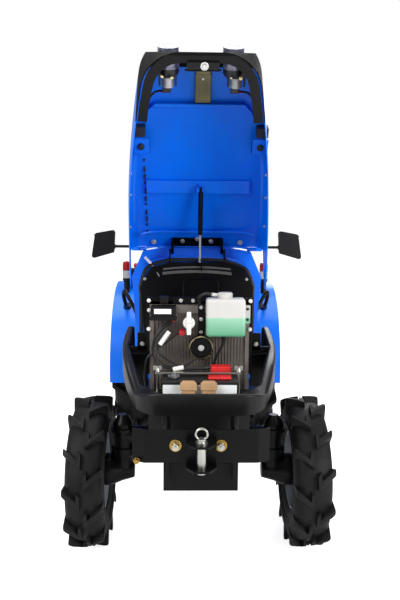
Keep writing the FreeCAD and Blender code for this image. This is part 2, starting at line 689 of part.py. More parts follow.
# ---------------------------------------------------------------- engine, clutch housing, gearbox

def engine():
    """Upright three-cylinder engine: pan, block, head and valve cover, with what bolts on round them."""
    face, tail = behind("engine_front"), behind("engine_back")
    cover = body("valve_cover")
    pad(cover, "cover_block", "XY", [
        ("-valve_cover_half", behind("engine_front + 12")), ("valve_cover_half", behind("engine_front + 12")),
        ("valve_cover_half", behind("engine_back - 30")), ("-valve_cover_half", behind("engine_back - 30"))],
        "engine_top - head_top", offset="head_top")
    round_edges(cover, "cover_rounds", "24", lambda edge: abs(centre_of(edge).z - value("head_top")) > 1)
    parts = [
        cover,
        box("block", ("-block_half", "block_half"), (face, tail), ("block_bottom", "block_top")),
        box("block_skirt", ("-block_half - 8", "block_half + 8"), (face, tail), ("block_bottom", "block_bottom + 70")),
        box("head", ("-head_half", "head_half"), (behind("engine_front + 4"), behind("engine_back - 20")),
            ("block_top", "head_top")),
        box("bell_plate", ("-engine_half", "engine_half"), (behind("engine_back - 14"), tail),
            ("block_bottom", "block_top - 30")),
        box("oil_pan", ("-pan_half + running_gap", "pan_half - running_gap"),
            (behind("rail_back + 20"), tail), ("pan_bottom", "block_bottom")),
        rod("timing_cover", "crank_pulley + 14", "22", ("0", behind("engine_front - 22"), "crank_height + 20"), "y"),
        rod("crank_pulley_rim", "crank_pulley", "24", ("0", behind("engine_front - 48"), "crank_height"), "y"),
        rod("crank_nose", "22", "34", ("0", behind("engine_front - 34"), "crank_height"), "y"),
        box("water_pump", ("-44", "44"), (behind("engine_front - 26"), behind("engine_front + 8")),
            ("block_top - 40", "fan_height + 34")),
        rod("fan_pulley", "pulley_radius", "20", ("0", behind("engine_front - 48"), "fan_height"), "y"),
        rod("fan_hub", "26", "engine_front - radiator_back - 34",
            ("0", behind("radiator_back + 14"), "fan_height"), "y"),
        rod("alternator", "52", "105", ("150", behind("engine_front - 8"), "block_top - 26"), "y"),
        rod("alternator_pulley", "30", "22", ("150", behind("engine_front - 46"), "block_top - 26"), "y"),
        rod("alternator_shaft", "10", "30", ("150", behind("engine_front - 26"), "block_top - 26"), "y"),
        box("alternator_foot", ("block_half - 6", "128"), (behind("engine_front + 6"), behind("engine_front + 60")),
            ("block_top - 90", "block_top - 50")),
        rod("oil_filter", "38", "88", ("block_half", behind("engine_front + 190"), "block_bottom + 48"), "x"),
        box("injection_pump", ("block_half", "block_half + 44"),
            (behind("engine_front + 70"), behind("engine_front + 160")), ("block_bottom + 84", "block_top - 54")),
        box("intake_manifold", ("head_half", "head_half + 36"),
            (behind("engine_front + 30"), behind("engine_back - 60")), ("block_top + 12", "head_top - 8")),
        rod("air_cleaner", "air_cleaner_radius", "230",
            ("head_half + 32", behind("engine_front + 40"), "engine_top + 8"), "y"),
        rod("air_cleaner_lid", "air_cleaner_radius + 4", "18",
            ("head_half + 32", behind("engine_front + 48"), "engine_top + 8"), "y"),
        rod("intake_pipe", "24", "engine_top + 8 - head_top", ("head_half + 18", behind("engine_back - 120"),
                                                               "head_top - 20")),
        box("exhaust_manifold", ("-head_half - 34", "-head_half"),
            (behind("engine_front + 40"), behind("engine_back - 70")), ("block_top + 14", "head_top - 12")),
        rod("muffler", "muffler_radius", "250", ("-head_half - 46", behind("engine_front + 50"), "head_top + 26"),
            "y"),
        rod("exhaust_drop", "18", "head_top - block_bottom + 40",
            ("-head_half - 58", behind("engine_front + 290"), "block_bottom - 20"))]
    for blade in range(int(value("fan_blades"))):
        turn = 360 * blade / int(value("fan_blades"))
        vane = box("fan_blade%d" % blade, ("0", "64"), ("0", "2.5"), ("20", "fan_radius"))
        pitch = FreeCAD.Rotation(Y_AXIS, turn) * FreeCAD.Rotation(Z_AXIS, 28)
        for axis in "xyz":
            vane.setExpression("Placement.Base." + axis, None)
        vane.Placement = (FreeCAD.Placement(V(0, 0, 0), pitch)
                          * FreeCAD.Placement(V(-32, 0, 20), FreeCAD.Rotation()))
        hub = make("Part::Compound", "fan_vane%d" % blade)
        hub.Links = [vane]
        parts.append(place(hub, ("0", behind("radiator_back + 26"), "fan_height")))
    whole = fused("engine", *parts)
    whole.Refine = False
    return whole


def chamfered(half, low, high, size):
    """A rectangle about the Z axis with its four corners cut off."""
    return [("%s - %s" % (size, half), low), ("%s - %s" % (half, size), low), (half, "%s + %s" % (low, size)),
            (half, "%s - %s" % (high, size)), ("%s - %s" % (half, size), high),
            ("%s - %s" % (size, half), high), ("-%s" % half, "%s - %s" % (high, size)),
            ("-%s" % half, "%s + %s" % (low, size))]


def gearbox():
    """Clutch housing, gearbox and rear axle in one line, with a trumpet housing to each wheel."""
    bell, case, axle = body("clutch_housing"), body("gear_case"), body("rear_axle")
    pad(bell, "bell_section", "XZ", chamfered("engine_half", "gearbox_bottom + 60", "gearbox_top + 60", "70"),
        "clutch_back - engine_back - 40", offset="-(%s)" % behind("clutch_back - 40"))
    pad(bell, "bell_neck", "XZ", chamfered("gearbox_half + 12", "gearbox_bottom + 20", "gearbox_top + 20", "50"),
        "40", offset="-(%s)" % behind("clutch_back"))
    pad(case, "case_section", "XZ", chamfered("gearbox_half", "gearbox_bottom", "gearbox_top", "gearbox_chamfer"),
        "%s - (%s)" % (aft("gearbox_behind"), behind("clutch_back")), offset="-(%s)" % aft("gearbox_behind"))
    shaft_end = "(rear_wheel_middle + rear_disc_offset - running_gap)"
    seat_end = "(rops_across - rops_tube / 2 - 6)"
    section = [(shaft_end, "0"), (shaft_end, "trumpet_radius / 2"), ("trumpet_half", "trumpet_radius / 2"),
               ("trumpet_half", "trumpet_radius"), (seat_end, "trumpet_radius"),
               (seat_end + " - 14", "trumpet_radius - 12"), ("gearbox_half + 14", "trumpet_radius - 4"),
               ("gearbox_half + 14", "trumpet_radius + 14"), ("gearbox_half", "trumpet_radius + 14")]
    revolve(axle, "axle_section", "XZ", section + [("-(%s)" % x, radius) for x, radius in reversed(section)])
    clevis = [box("clevis%d" % side, ("15.3", "25") if side > 0 else ("-25", "-15.3"),
                  (aft("gearbox_behind"), aft("top_pivot_behind + 18")),
                  ("top_pivot_height - 30", "top_pivot_height + 30")) for side in (-1, 1)]
    lift_cover = cut("lift_cover", box("lift_cover_case", ("-gearbox_half", "gearbox_half"),
                                       (aft("20"), aft("gearbox_behind")), ("gearbox_top", "shaft_height + 36")),
                     rod("shaft_bore", "shaft_radius + 0.05", "400",
                         ("-200", aft("shaft_behind"), "shaft_height"), "x"))
    whole = fused("gearbox_body", bell, case, place(axle, ("0", aft("0"), "rear_tyre_radius")), lift_cover,
                  box("link_bracket", ("-gearbox_half - 10", "gearbox_half + 10"),
                      (aft("link_pivot_behind - 30"), aft("link_pivot_behind + 30")),
                      ("link_pivot_height - 28", "link_pivot_height + 16")),
                  rod("link_pin", "11", "2 * (link_pivot_across + 22)",
                      ("-link_pivot_across - 22", aft("link_pivot_behind"), "link_pivot_height"), "x"),
                  rod("top_pin", "9.6", "50", ("-25", aft("top_pivot_behind"), "top_pivot_height"), "x"),
                  box("back_plate", ("-60", "60"), (aft("gearbox_behind - 20"), aft("gearbox_behind")),
                      ("gearbox_top", "top_pivot_height + 40")), *clevis)
    return cut("gearbox", whole, rod("output_bore", "output_radius + 0.05", "60",
                                     ("0", aft("gearbox_behind - 31"), "430"), "y"))


node(engine())
node(gearbox())


# ---------------------------------------------------------------- firewall and dash

def arch(half, shoulder, top, bottom):
    """A panel's outline with a flattened round top; below its shoulders it narrows as the hood does."""
    foot = "(%s - (%s - (%s)) * tan(hood_lean * 1deg))" % (half, shoulder, bottom)
    return [("-" + foot, bottom), (foot, bottom), (half, shoulder),
            ("%s - 55" % half, "%s - 22" % top), ("0.45 * %s" % half, top), ("-0.45 * %s" % half, top),
            ("55 - %s" % half, "%s - 22" % top), ("-%s" % half, shoulder)]


def firewall():
    """Sheet panel behind the engine with the hood hinge's ears on its top edge."""
    solid = body("firewall_panel")
    pad(solid, "firewall_sheet", "XZ",
        arch("firewall_half", "firewall_shoulder", "firewall_top", "gearbox_top + 60 + running_gap"),
        "firewall_thickness", offset="-(%s)" % behind("firewall_front + firewall_thickness"))
    parts = [solid]
    for side in (-1, 1):
        x = ("hinge_arm_middle + 7", "hinge_arm_middle + 15")
        if side < 0:
            x = ("-hinge_arm_middle - 15", "-hinge_arm_middle - 7")
        parts.append(box("ear%d" % side, x, (behind("firewall_front"), behind("hood_hinge_behind + 14")),
                         ("dash_rim_top + running_gap", "hood_hinge_height + 12")))
        parts.append(box("ear_root%d" % side, x, (behind("firewall_front"), behind("dash_front - running_gap")),
                         ("firewall_top - 60", "dash_rim_top + 10")))
    parts.append(box("strut_anchor", ("strut_across + 6.3", "strut_across + 11"),
                     (behind("strut_eye_behind - 12"), behind("firewall_front")),
                     ("firewall_top - 40", "strut_eye_height + 10")))
    parts.append(box("strut_anchor_foot", ("strut_across + 6.3", "strut_across + 50"),
                     (behind("firewall_front - 3"), behind("firewall_front")),
                     ("firewall_top - 40", "firewall_top - 8")))
    return cut("firewall", fused("firewall_body", *parts),
               rod("ear_bore", "hinge_pin_radius + 0.05", "400",
                   ("-200", behind("hood_hinge_behind"), "hood_hinge_height"), "x"))


def dash():
    """Blue cowl: a rim that the hood closes on, and the taller dash behind it."""
    rim_part, main = body("dash_rim"), body("dash_main")
    pad(rim_part, "rim_arch", "XZ", arch("dash_rim_half", "firewall_shoulder", "dash_rim_top", "dash_bottom"),
        "dash_step - dash_front", offset="-(%s)" % behind("dash_step"))
    pad(main, "main_arch", "XZ", arch("dash_half", "firewall_shoulder + 40", "dash_top", "dash_bottom"),
        "dash_back - dash_step", offset="-(%s)" % behind("dash_back"))
    brackets = [box("mirror_bracket%d" % side, ("250", "dash_half") if side > 0 else ("-dash_half", "-250"),
                    (behind("dash_step"), behind("dash_step + 26")), ("1130", "1150")) for side in (-1, 1)]
    return fused("dash", rim_part, main, *brackets)


node(firewall())
node(dash())


# ---------------------------------------------------------------- hood, modelled closed and turned open

def above_ring(place_behind):
    """Height of the closed hood's lower edge, just above the surround, at a place behind the front axle."""
    return ("(ring_low + ring_height / cos(ring_slope * 1deg) + hood_seat_gap"
            " + (%s - ring_front) * tan(ring_slope * 1deg))" % place_behind)


PLAN_HEIGHT = "1400"


def hood_corner_end(inset):
    """Where the nose's corner arc turns into the side, as (across, behind): there it heads for the
    point at hood_mid_behind."""
    across = "(hood_mid_half - (%s) - hood_flat_half)" % inset
    along = "(hood_mid_behind - hood_front - hood_corner)"
    radius = "(hood_corner - (%s))" % inset
    spoke = "(atan2(%s; %s) - acos(%s / sqrt(%s^2 + %s^2)))" % (along, across, radius, across, along)
    return ("(hood_flat_half + %s * cos(%s))" % (radius, spoke),
            "hood_front + hood_corner + %s * sin(%s)" % (radius, spoke))


def hood_volume(label, inset):
    """The hood's closed outer volume, or the space inside it: its side profile trimmed to its plan."""
    solid = body(label)
    front = "hood_front + (%s)" % inset
    mouth = "" if inset == "0" else " - 40"
    rear = "hood_hinge_behind - 5 + (%s) * 4" % inset
    pad(solid, label + "_side", "YZ", [
        (behind(front), above_ring(front) + mouth),
        (behind("hood_arm_end"), above_ring("hood_arm_end") + mouth),
        (behind("hood_tip_behind - hood_tip_length"), "hood_tip_height" + mouth),
        (behind("hood_tip_behind"), "hood_tip_height" + mouth),
        (behind(rear), "hood_tip_height + hood_tip_rise" + mouth),
        (behind(rear), "hood_rear_top - (%s)" % inset),
        (behind("hood_front_top + (%s)" % inset), "hood_nose_top - (%s)" % inset)],
        "2 * hood_rear_half + 300", both=True)
    waste = []
    grown = "(%s - (%s - %s) * tan(hood_lean * 1deg))" % (inset, PLAN_HEIGHT, above_ring("hood_front"))
    corner_x, corner_y = hood_corner_end(grown)
    for side in (-1, 1):
        points = [("hood_flat_half - 20", "hood_front - 150"), ("hood_flat_half - 20", "hood_front + " + grown),
                  ("hood_flat_half", "hood_front + " + grown, "arc"), (corner_x, corner_y, "arc"),
                  ("hood_rear_half - " + grown, "hood_hinge_behind"),
                  ("hood_rear_half - " + grown, "hood_hinge_behind + 60"),
                  ("hood_rear_half + 160", "hood_hinge_behind + 60"), ("hood_rear_half + 160", "hood_front - 150")]
        waste.append([("%d * (%s)" % (side, point[0]), behind(point[1])) + point[2:] for point in points])
    plan = pocket(solid, label + "_plan", "XY", waste, "1000", offset=PLAN_HEIGHT)
    bind(plan, TaperAngle="hood_lean * 1deg")
    top, start = value("hood_nose_top - (%s)" % inset), value(behind("hood_front_top + (%s)" % inset))
    slope = value("(hood_rear_top - hood_nose_top) / (%s - hood_front_top - (%s))" % (rear, inset))

    def on_roof(edge):
        ends = [v.Point for v in edge.Vertexes]
        rear_end = runs_along(X_AXIS, edge) and centre_of(edge).y > start + 100
        return not rear_end and all(abs(p.z - top - (p.y - start) * slope) < 3 for p in ends)

    round_edges(solid, label + "_rounds", "hood_round - (%s)" % inset, on_roof)
    return solid


def hood_piece(label, ahead, *holes):
    """The hood's shell ahead of its slanting split line, or behind it, turned to its open pose."""
    shell = cut(label + "_shell", hood_volume(label + "_outer", "0"), hood_volume(label + "_inner", "hood_wall"))
    slant = "(hood_split_low - hood_split) / (hood_nose_top - %s)" % above_ring("hood_split_low")
    far = "hood_front - 250" if ahead else "hood_hinge_behind + 100"
    window = body(label + "_window")
    pad(window, label + "_side_view", "YZ", [
        (behind(far), "500"), (behind("hood_split + (hood_nose_top - 500) * " + slant), "500"),
        (behind("hood_split + (hood_nose_top - 1400) * " + slant), "1400"), (behind(far), "1400")],
        "1000", both=True)
    closed = common(label + "_closed", shell, window)
    return open_pose(label, cut(label + "_pierced", closed, *holes) if holes else closed)


def open_pose(label, closed):
    """A closed-hood shape turned about the hinge to where the hood stands open."""
    turned = make("Part::Compound", label)
    turned.Links = [closed]
    turned.Placement = FreeCAD.Placement()
    angle = "hood_open"
    y, z = "(%s)" % behind("hood_hinge_behind"), "hood_hinge_height"
    place(turned, ("0", "%s - (%s * cos(%s * 1deg) + %s * sin(%s * 1deg))" % (y, y, angle, z, angle),
                   "%s - (%s * cos(%s * 1deg) - %s * sin(%s * 1deg))" % (z, z, angle, y, angle)),
          X_AXIS, "-" + angle)
    return turned


def lamp_rods(label, radius):
    """A round bar at each headlamp."""
    return [rod("%s%d" % (label, side), radius, "75",
                ("%d * lamp_across" % side, behind("hood_front + 11"), "lamp_height"), "y") for side in (-1, 1)]


def headlamps():
    return open_pose("headlamps", group("lamps_closed", *lamp_rods("lamp", "lamp_radius")))


def under_roof(place_behind):
    """Height just under the closed hood's roof at a place behind the front axle."""
    slope = "(hood_rear_top - hood_nose_top) / (hood_hinge_behind - 5 + 3 * hood_wall - hood_front_top)"
    return ("(hood_rear_top - hood_wall - running_gap - %s * (hood_hinge_behind - 5 + 4 * hood_wall - (%s)))"
            % (slope, place_behind))


def hood_brace():
    """Cross brace under the hood's roof, with the strut's ball stud."""
    roof = under_roof("strut_top_behind - 30")
    return open_pose("hood_brace", fused("brace_closed",
                     box("brace", ("-brace_half", "brace_half"),
                         (behind("strut_top_behind - 30"), behind("strut_top_behind + 30")),
                         (roof + " - brace_thickness", roof)),
                     box("stud_plate", ("strut_across - 18", "strut_across - 12"),
                         (behind("strut_top_behind - 14"), behind("strut_top_behind + 14")),
                         ("strut_top_height - 12", roof + " - brace_thickness / 2")),
                     rod("stud", "stud_radius", "24", ("strut_across - 14", behind("strut_top_behind"),
                                                       "strut_top_height"), "x")))


def hood_hinge():
    """Plate under the hood's rear edge with two arms down to the hinge pins."""
    parts = [box("hinge_plate", ("-hinge_arm_middle - 6", "hinge_arm_middle + 6"),
                 (behind("hood_hinge_behind - 60"), behind("hood_hinge_behind - 6")),
                 ("%s - 6" % under_roof("hood_hinge_behind - 60"), under_roof("hood_hinge_behind - 60")))]
    for side in (-1, 1):
        middle = "%d * hinge_arm_middle" % side
        parts.append(box("hinge_arm%d" % side, ("%s - 6" % middle, "%s + 6" % middle),
                         (behind("hood_hinge_behind - 60"), behind("hood_hinge_behind + 10")),
                         ("hood_hinge_height - 10", "hood_hinge_height + 28")))
        start = middle if side > 0 else "%s - 15" % middle
        parts.append(rod("hinge_pin%d" % side, "hinge_pin_radius", "15",
                         (start, behind("hood_hinge_behind"), "hood_hinge_height"), "x"))
    return open_pose("hood_hinge", fused("hinge_closed", *parts))


node(hood_piece("hood_shell", False))
node(hood_piece("hood_nose", True, *lamp_rods("lamp_hole", "lamp_radius + 0.3")))
node(headlamps())
node(hood_brace())
node(hood_hinge())


# ---------------------------------------------------------------- gas strut, posed as the hood stands

def opened(behind_text, height):
    """Where a place on the closed hood, measured behind the front axle, stands when it is open."""
    run, rise = "(%s - hood_hinge_behind)" % behind_text, "(%s - hood_hinge_height)" % height
    turn = "hood_open * 1deg"
    return (behind("hood_hinge_behind + %s * cos(%s) + %s * sin(%s)" % (run, turn, rise, turn)),
            "hood_hinge_height - %s * sin(%s) + %s * cos(%s)" % (run, turn, rise, turn))


def strut():
    """Tube with its socket on the hood's ball stud, and the rod with its eye at the firewall."""
    top_y, top_z = opened("strut_top_behind", "strut_top_height")
    low_y, low_z = behind("strut_eye_behind"), "strut_eye_height"
    run, rise = "((%s) - (%s))" % (low_y, top_y), "((%s) - (%s))" % (low_z, top_z)
    length = "sqrt(%s^2 + %s^2)" % (run, rise)

    def along(text):
        return ("strut_across", "%s + %s * (%s) / %s" % (top_y, run, text, length),
                "%s + %s * (%s) / %s" % (top_z, rise, text, length))

    socket = rod("strut_socket", "stud_radius + 5", "10", ("strut_across - 5", top_y, top_z), "x")
    tube = cut("strut_tube", fused("strut_tube_solid", socket,
                                   leaning_rod("strut_tube_body", "strut_tube_radius", along("14"),
                                               along("strut_tube_length")),
                                   leaning_rod("strut_neck", "4", along("4"), along("18"))),
               rod("stud_bore", "stud_radius + 0.05", "40", ("strut_across - 20", top_y, top_z), "x"),
               leaning_rod("strut_bore", "strut_rod_radius + 0.1", along("60"),
                           along("strut_tube_length + 5")))
    eye = rod("strut_eye", "9", "12", ("strut_across - 6", low_y, low_z), "x")
    bar = fused("strut_rod", leaning_rod("strut_rod_bar", "strut_rod_radius",
                                         along("strut_tube_length - 30"), along(length + " - 4")), eye)
    return tube, bar


for piece in strut():
    node(piece)


# ---------------------------------------------------------------- steering, deck, fenders, seat



def on_column(text):
    """A place on the steering column's axis, measured down from the wheel's hub."""
    return ("0", behind("wheel_behind - (%s) * sin(wheel_lean * 1deg)" % text),
            "wheel_height - (%s) * cos(wheel_lean * 1deg)" % text)


def steering_column():
    return cut("steering_column",
               leaning_rod("column_tube", "column_radius", on_column("column_length"), on_column("22")),
               box("column_seat", ("-100", "100"), (behind("0"), behind("dash_back + running_gap")),
                   ("dash_bottom", "dash_top + 100")))


def steering_wheel():
    """Rim, three spokes and hub, level in its own frame and leaned towards the seat."""
    parts = [hoop("wheel_rim", "wheel_radius", "wheel_rim"),
             place(bind(make("Part::Cylinder", "wheel_hub"), Radius="36", Height="36"), ("0", "0", "-21.5"))]
    for turn in (90, 210, 330):
        spoke = bind(make("Part::Box", "spoke%d" % turn), Length="wheel_radius", Width="22", Height="8")
        spoke.Placement = FreeCAD.Placement(V(0, 0, -4), FreeCAD.Rotation(Z_AXIS, turn),
                                            V(0, 11, 0)) * FreeCAD.Placement(V(0, -11, 0), FreeCAD.Rotation())
        parts.append(spoke)
    whole = fused("steering_wheel", *parts)
    return place(whole, ("0", behind("wheel_behind"), "wheel_height"), X_AXIS, "-wheel_lean")


def platform():
    """Two step plates beside the gearbox, hung from it by cross bars; each meets its fender's front."""
    back = "(wheelbase - rear_tyre_radius - fender_gap - fender_wall - running_gap)"
    parts = []
    for side in (-1, 1):
        x = ("deck_inside", "deck_half") if side > 0 else ("-deck_half", "-deck_inside")
        parts.append(box("deck%d" % side, x, (behind("deck_front"), behind(back)),
                         ("deck_height - deck_thickness", "deck_height")))
        x = ("gearbox_half", "deck_half - 60") if side > 0 else ("60 - deck_half", "-gearbox_half")
        for place_behind in ("deck_front + 40", back + " - 70"):
            parts.append(box("hanger", x, (behind(place_behind), behind(place_behind + " + 30")),
                             ("deck_height - deck_thickness - 30", "deck_height - deck_thickness")))
    return group("platform", fused("deck_right", *parts[:3]), fused("deck_left", *parts[3:]))


def fender(label, side):
    """Curved skin over the rear tyre with an inner wall, open below and outside."""
    skin = "rear_tyre_radius + fender_gap"
    low, high = ("fender_inside", "fender_outside") if side > 0 else ("-fender_outside", "-fender_inside")
    reach = "(%s + fender_wall)" % skin
    drum = rod(label + "_drum", reach, "fender_outside - fender_inside", (low, aft("0"), "rear_tyre_radius"), "x")
    apron = box(label + "_apron", (low, high), (aft("-" + reach), aft("0")), ("fender_low", "rear_tyre_radius"))
    hollow_low = low if side < 0 else low + " + fender_wall"
    hollow_high = high if side > 0 else high + " - fender_wall"
    width = "fender_outside - fender_inside - fender_wall"
    inside = rod(label + "_inside", skin, width, (hollow_low, aft("0"), "rear_tyre_radius"), "x")
    mouth = box(label + "_mouth", (hollow_low, hollow_high), (aft("-(%s)" % skin), aft(skin)),
                ("fender_low - 10", "rear_tyre_radius"))
    rear_cut = box(label + "_rear", ("-600", "600"), (aft("-60"), aft("600")), ("0", "rear_tyre_radius + trumpet_radius + 8"))
    front_cut = box(label + "_trim", ("-600", "600"), (aft("-170"), aft("100")),
                    ("0", "rear_tyre_radius + trumpet_radius + 8"))
    tail_cut = box(label + "_tail", ("-600", "600"), (aft("400"), aft("600")), ("0", "1200"))
    foot_cut = box(label + "_foot", ("-600", "600"), (aft("-600"), aft("600")), ("-100", "fender_low"))
    return cut(label, fused(label + "_solid", drum, apron), inside, mouth, rear_cut, front_cut, tail_cut,
               foot_cut)


def seat_frame():
    return fused("seat_frame",
                 box("seat_riser", ("-95", "95"), (behind("seat_middle - 130"), behind("seat_middle + 130")),
                     ("gearbox_top", "seat_pan_height - 12")),
                 box("seat_rails", ("-150", "150"), (behind("seat_middle - 170"), behind("seat_middle + 170")),
                     ("seat_pan_height - 12", "seat_pan_height")))


def seat():
    """One-piece moulded cushion and back."""
    solid = body("seat")
    pad(solid, "seat_side", "YZ", [
        (behind("seat_middle - 230"), "seat_pan_height + 0.3"), (behind("seat_middle + 170"), "seat_pan_height + 0.3"),
        (behind("seat_middle + 265"), "seat_back_top"), (behind("seat_middle + 195"), "seat_back_top"),
        (behind("seat_middle + 120"), "seat_pan_height + 85"), (behind("seat_middle - 230"), "seat_pan_height + 75")],
        "2 * seat_half", both=True)
    round_edges(solid, "seat_rounds", "28", lambda edge: runs_along(X_AXIS, edge)
                and centre_of(edge).z > value("seat_pan_height") + 60)
    return solid


node(steering_column())
node(steering_wheel())
node(platform())
node(fender("fender_right", -1))
node(fender("fender_left", 1))
node(seat_frame())
node(seat())


# ---------------------------------------------------------------- roll bar, mirrors, lamps, levers

def rops_posts():
    """Square posts on the axle housing, joined by a cross tube."""
    parts = []
    for side in (-1, 1):
        middle = "%d * rops_across" % side
        parts.append(box("post%d" % side, ("%s - rops_tube / 2" % middle, "%s + rops_tube / 2" % middle),
                         (aft("rops_middle - rops_tube / 2"), aft("rops_middle + rops_tube / 2")),
                         ("rops_low", "rops_fold - 40")))
        parts.append(box("foot%d" % side, ("%s - rops_tube / 2" % middle, "%s + rops_tube / 2" % middle),
                         (aft("-40"), aft("rops_middle + rops_tube / 2")),
                         ("rops_low", "rops_low + 20")))
        for cheek in (-1, 1):
            x = "%s + %d * (rops_tube / 2 + 4)" % (middle, cheek)
            parts.append(box("cheek%d%d" % (side, cheek), ("%s - 4" % x, "%s + 4" % x),
                             (aft("rops_middle - rops_tube / 2"), aft("rops_middle + rops_tube / 2")),
                             ("rops_fold - 110", "rops_fold + 25")))
        parts.append(rod("fold_pin%d" % side, "10", "rops_tube + 16",
                         ("%s - rops_tube / 2 - 8" % middle, aft("rops_middle"), "rops_fold"), "x"))
    return fused("rops_posts", *parts)


def rops_hoop():
    """The upper hoop, a square tube bent to an upside-down U, which folds back at its feet."""
    solid = body("rops_hoop_tube")
    half, inner = "(rops_across + rops_tube / 2 - running_gap)", "(rops_across - rops_tube / 2 + running_gap)"
    pad(solid, "hoop", "XZ", [
        ("-" + half, "rops_fold - 25"), ("-" + inner, "rops_fold - 25"), ("-" + inner, "rops_top - 150", "arc"),
        ("100 - " + inner, "rops_top - rops_tube"), (inner + " - 100", "rops_top - rops_tube", "arc"),
        (inner, "rops_top - 150"), (inner, "rops_fold - 25"), (half, "rops_fold - 25"),
        (half, "rops_top - 150", "arc"), (half + " - 150", "rops_top"), ("150 - " + half, "rops_top", "arc"),
        ("-" + half, "rops_top - 150")],
        "rops_tube", offset="-(%s)" % aft("rops_middle + rops_tube / 2"))
    return cut("rops_hoop", solid, rod("hoop_bore", "10.05", "800", ("-400", aft("rops_middle"), "rops_fold"), "x"))


def mirrors():
    """Round arms from the dash, each with a four-sided head that tapers outwards."""
    parts = []
    for side in (-1, 1):
        arm = rod("mirror_arm%d" % side, "7", "428 - dash_half - running_gap",
                  ("dash_half + running_gap" if side > 0 else "-428", behind("712"), "1150"), "x")
        head = body("mirror_head%d" % side)
        corners = [(("%d * " % side) + x, z) for x, z in (("408", "1120"), ("520", "1088"), ("500", "1214"),
                                                          ("402", "1232"))]
        pad(head, "mirror_face%d" % side, "XZ", corners, "26", offset="-(%s)" % behind("720"))
        round_edges(head, "mirror_corners%d" % side, "12", lambda edge: runs_along(Y_AXIS, edge))
        parts.append(fused("mirror%d" % side, arm, head))
    return group("mirrors", *parts)


def marker_lamps():
    parts = []
    for side in (-1, 1):
        parts.append(fused("marker_whole%d" % side,
                           rod("marker_base%d" % side, "18", "90", ("%d * 396" % side, aft("-200"), "850")),
                           rod("marker_lens%d" % side, "24", "110", ("%d * 396" % side, aft("-200"), "940"))))
    seats = [cut("marker%d" % i, part, rod("marker_seat%d" % i,
                 "rear_tyre_radius + fender_gap + fender_wall + running_gap", "1000",
                 ("-500", aft("0"), "rear_tyre_radius"), "x")) for i, part in enumerate(parts)]
    return group("marker_lamps", *seats)


def lever_console():
    return cut("lever_console", box("console_box", ("-400", "-300"), (aft("-160"), aft("-40")), ("850", "1000")),
               rod("console_seat", "rear_tyre_radius + fender_gap + fender_wall + running_gap", "200",
                   ("-450", aft("0"), "rear_tyre_radius"), "x"))


node(rops_posts())
node(rops_hoop())
node(mirrors())
node(marker_lamps())
node(lever_console())


# ---------------------------------------------------------------- three-point linkage, drawbar, power take-off

def lift_arms():
    parts = [rod("rockshaft", "shaft_radius", "2 * lift_across + 40", ("-lift_across - 20", aft("shaft_behind"), "shaft_height"), "x")]
    for side in (-1, 1):
        middle = "%d * lift_across" % side
        parts.append(box("lift_arm%d" % side, ("%s - 10" % middle, "%s + 10" % middle),
                         (aft("shaft_behind"), aft("shaft_behind + lift_arm")),
                         ("shaft_height - 20", "shaft_height + 20")))
    return fused("lift_arms", *parts)


def lower_links():
    parts = []
    for side in (-1, 1):
        solid = body("link%d" % side)
        inner, outer = "%d * link_pivot_across" % side, "%d * link_ball_across" % side
        start, end = aft("link_pivot_behind"), aft("link_pivot_behind + link_length")
        pad(solid, "link_bar%d" % side, "XY", [
            ("%s - 8" % inner, start), ("%s - 8" % outer, end), ("%s + 8" % outer, end), ("%s + 8" % inner, start)],
            "40", offset="link_pivot_height - 20")
        ball = rod("link_ball%d" % side, "ball_radius", "44", ("%s - 22" % outer, end, "link_pivot_height"), "x")
        whole = fused("link_whole%d" % side, solid, ball)
        parts.append(cut("lower_link%d" % side, whole,
                         rod("ball_hole%d" % side, "ball_bore", "80", ("%s - 40" % outer, end, "link_pivot_height"), "x"),
                         rod("pivot_hole%d" % side, "11.05", "80", ("%s - 40" % inner, start, "link_pivot_height"), "x")))
    return group("lower_links", *parts)


def top_link():
    start = ("0", aft("top_pivot_behind"), "top_pivot_height")
    end = ("0", aft("160 + 420"), "400")
    bar = leaning_rod("top_link_bar", "14", start, end)
    ball = rod("top_link_ball", "22", "50", ("-25", aft("580"), "400"), "x")
    eye = rod("top_link_eye", "22", "30", ("-15", aft("top_pivot_behind"), "top_pivot_height"), "x")
    return cut("top_link", fused("top_link_body", bar, ball, eye),
               rod("top_link_bore", "9.65", "80", ("-40", aft("580"), "400"), "x"),
               rod("top_eye_bore", "9.65", "80", ("-40", aft("top_pivot_behind"), "top_pivot_height"), "x"))


def drawbar():
    bar = box("drawbar_bar", ("-35", "35"), (aft("-80"), aft("330")), ("250", "266"))
    hanger = box("drawbar_hanger", ("-30", "30"), (aft("-70"), aft("20")), ("266", "gearbox_bottom - running_gap"))
    return cut("drawbar", fused("drawbar_body", bar, hanger),
               rod("drawbar_hole", "11", "60", ("0", aft("295"), "230")))


def pto_shaft():
    return rod("pto_shaft", "output_radius", "110", ("0", aft("gearbox_behind - 30"), "430"), "y")


node(lift_arms())
node(lower_links())
node(top_link())
node(drawbar())
node(pto_shaft())


# ---------------------------------------------------------------- check and write

doc.recompute()
for thing in doc.Objects:
    if {"Invalid", "Error"} & set(thing.State):
        raise SystemExit("%s failed: %s" % (thing.Label, thing.State))
os.makedirs("parts", exist_ok=True)
for thing in nodes:
    if thing.Shape.isNull() or not thing.Shape.isValid() or not thing.Shape.Solids:
        raise SystemExit("%s has no sound shape" % thing.Label)
    thing.Shape.exportStep("parts/%s.step" % thing.Label)
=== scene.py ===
"""A compact tractor that stands with its hood open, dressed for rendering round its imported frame.

The sections follow the machine as it is put together: stage, tyres, rims, chassis, surround, battery,
front of the radiator, coolant bottle, engine, firewall and dash, hood, seat, fenders with the small
fittings, and platform with the rear. Every length is in metres, and spot() takes millimetres.
"""
import json
import math

import bmesh
import bpy
from mathutils import Matrix, Vector

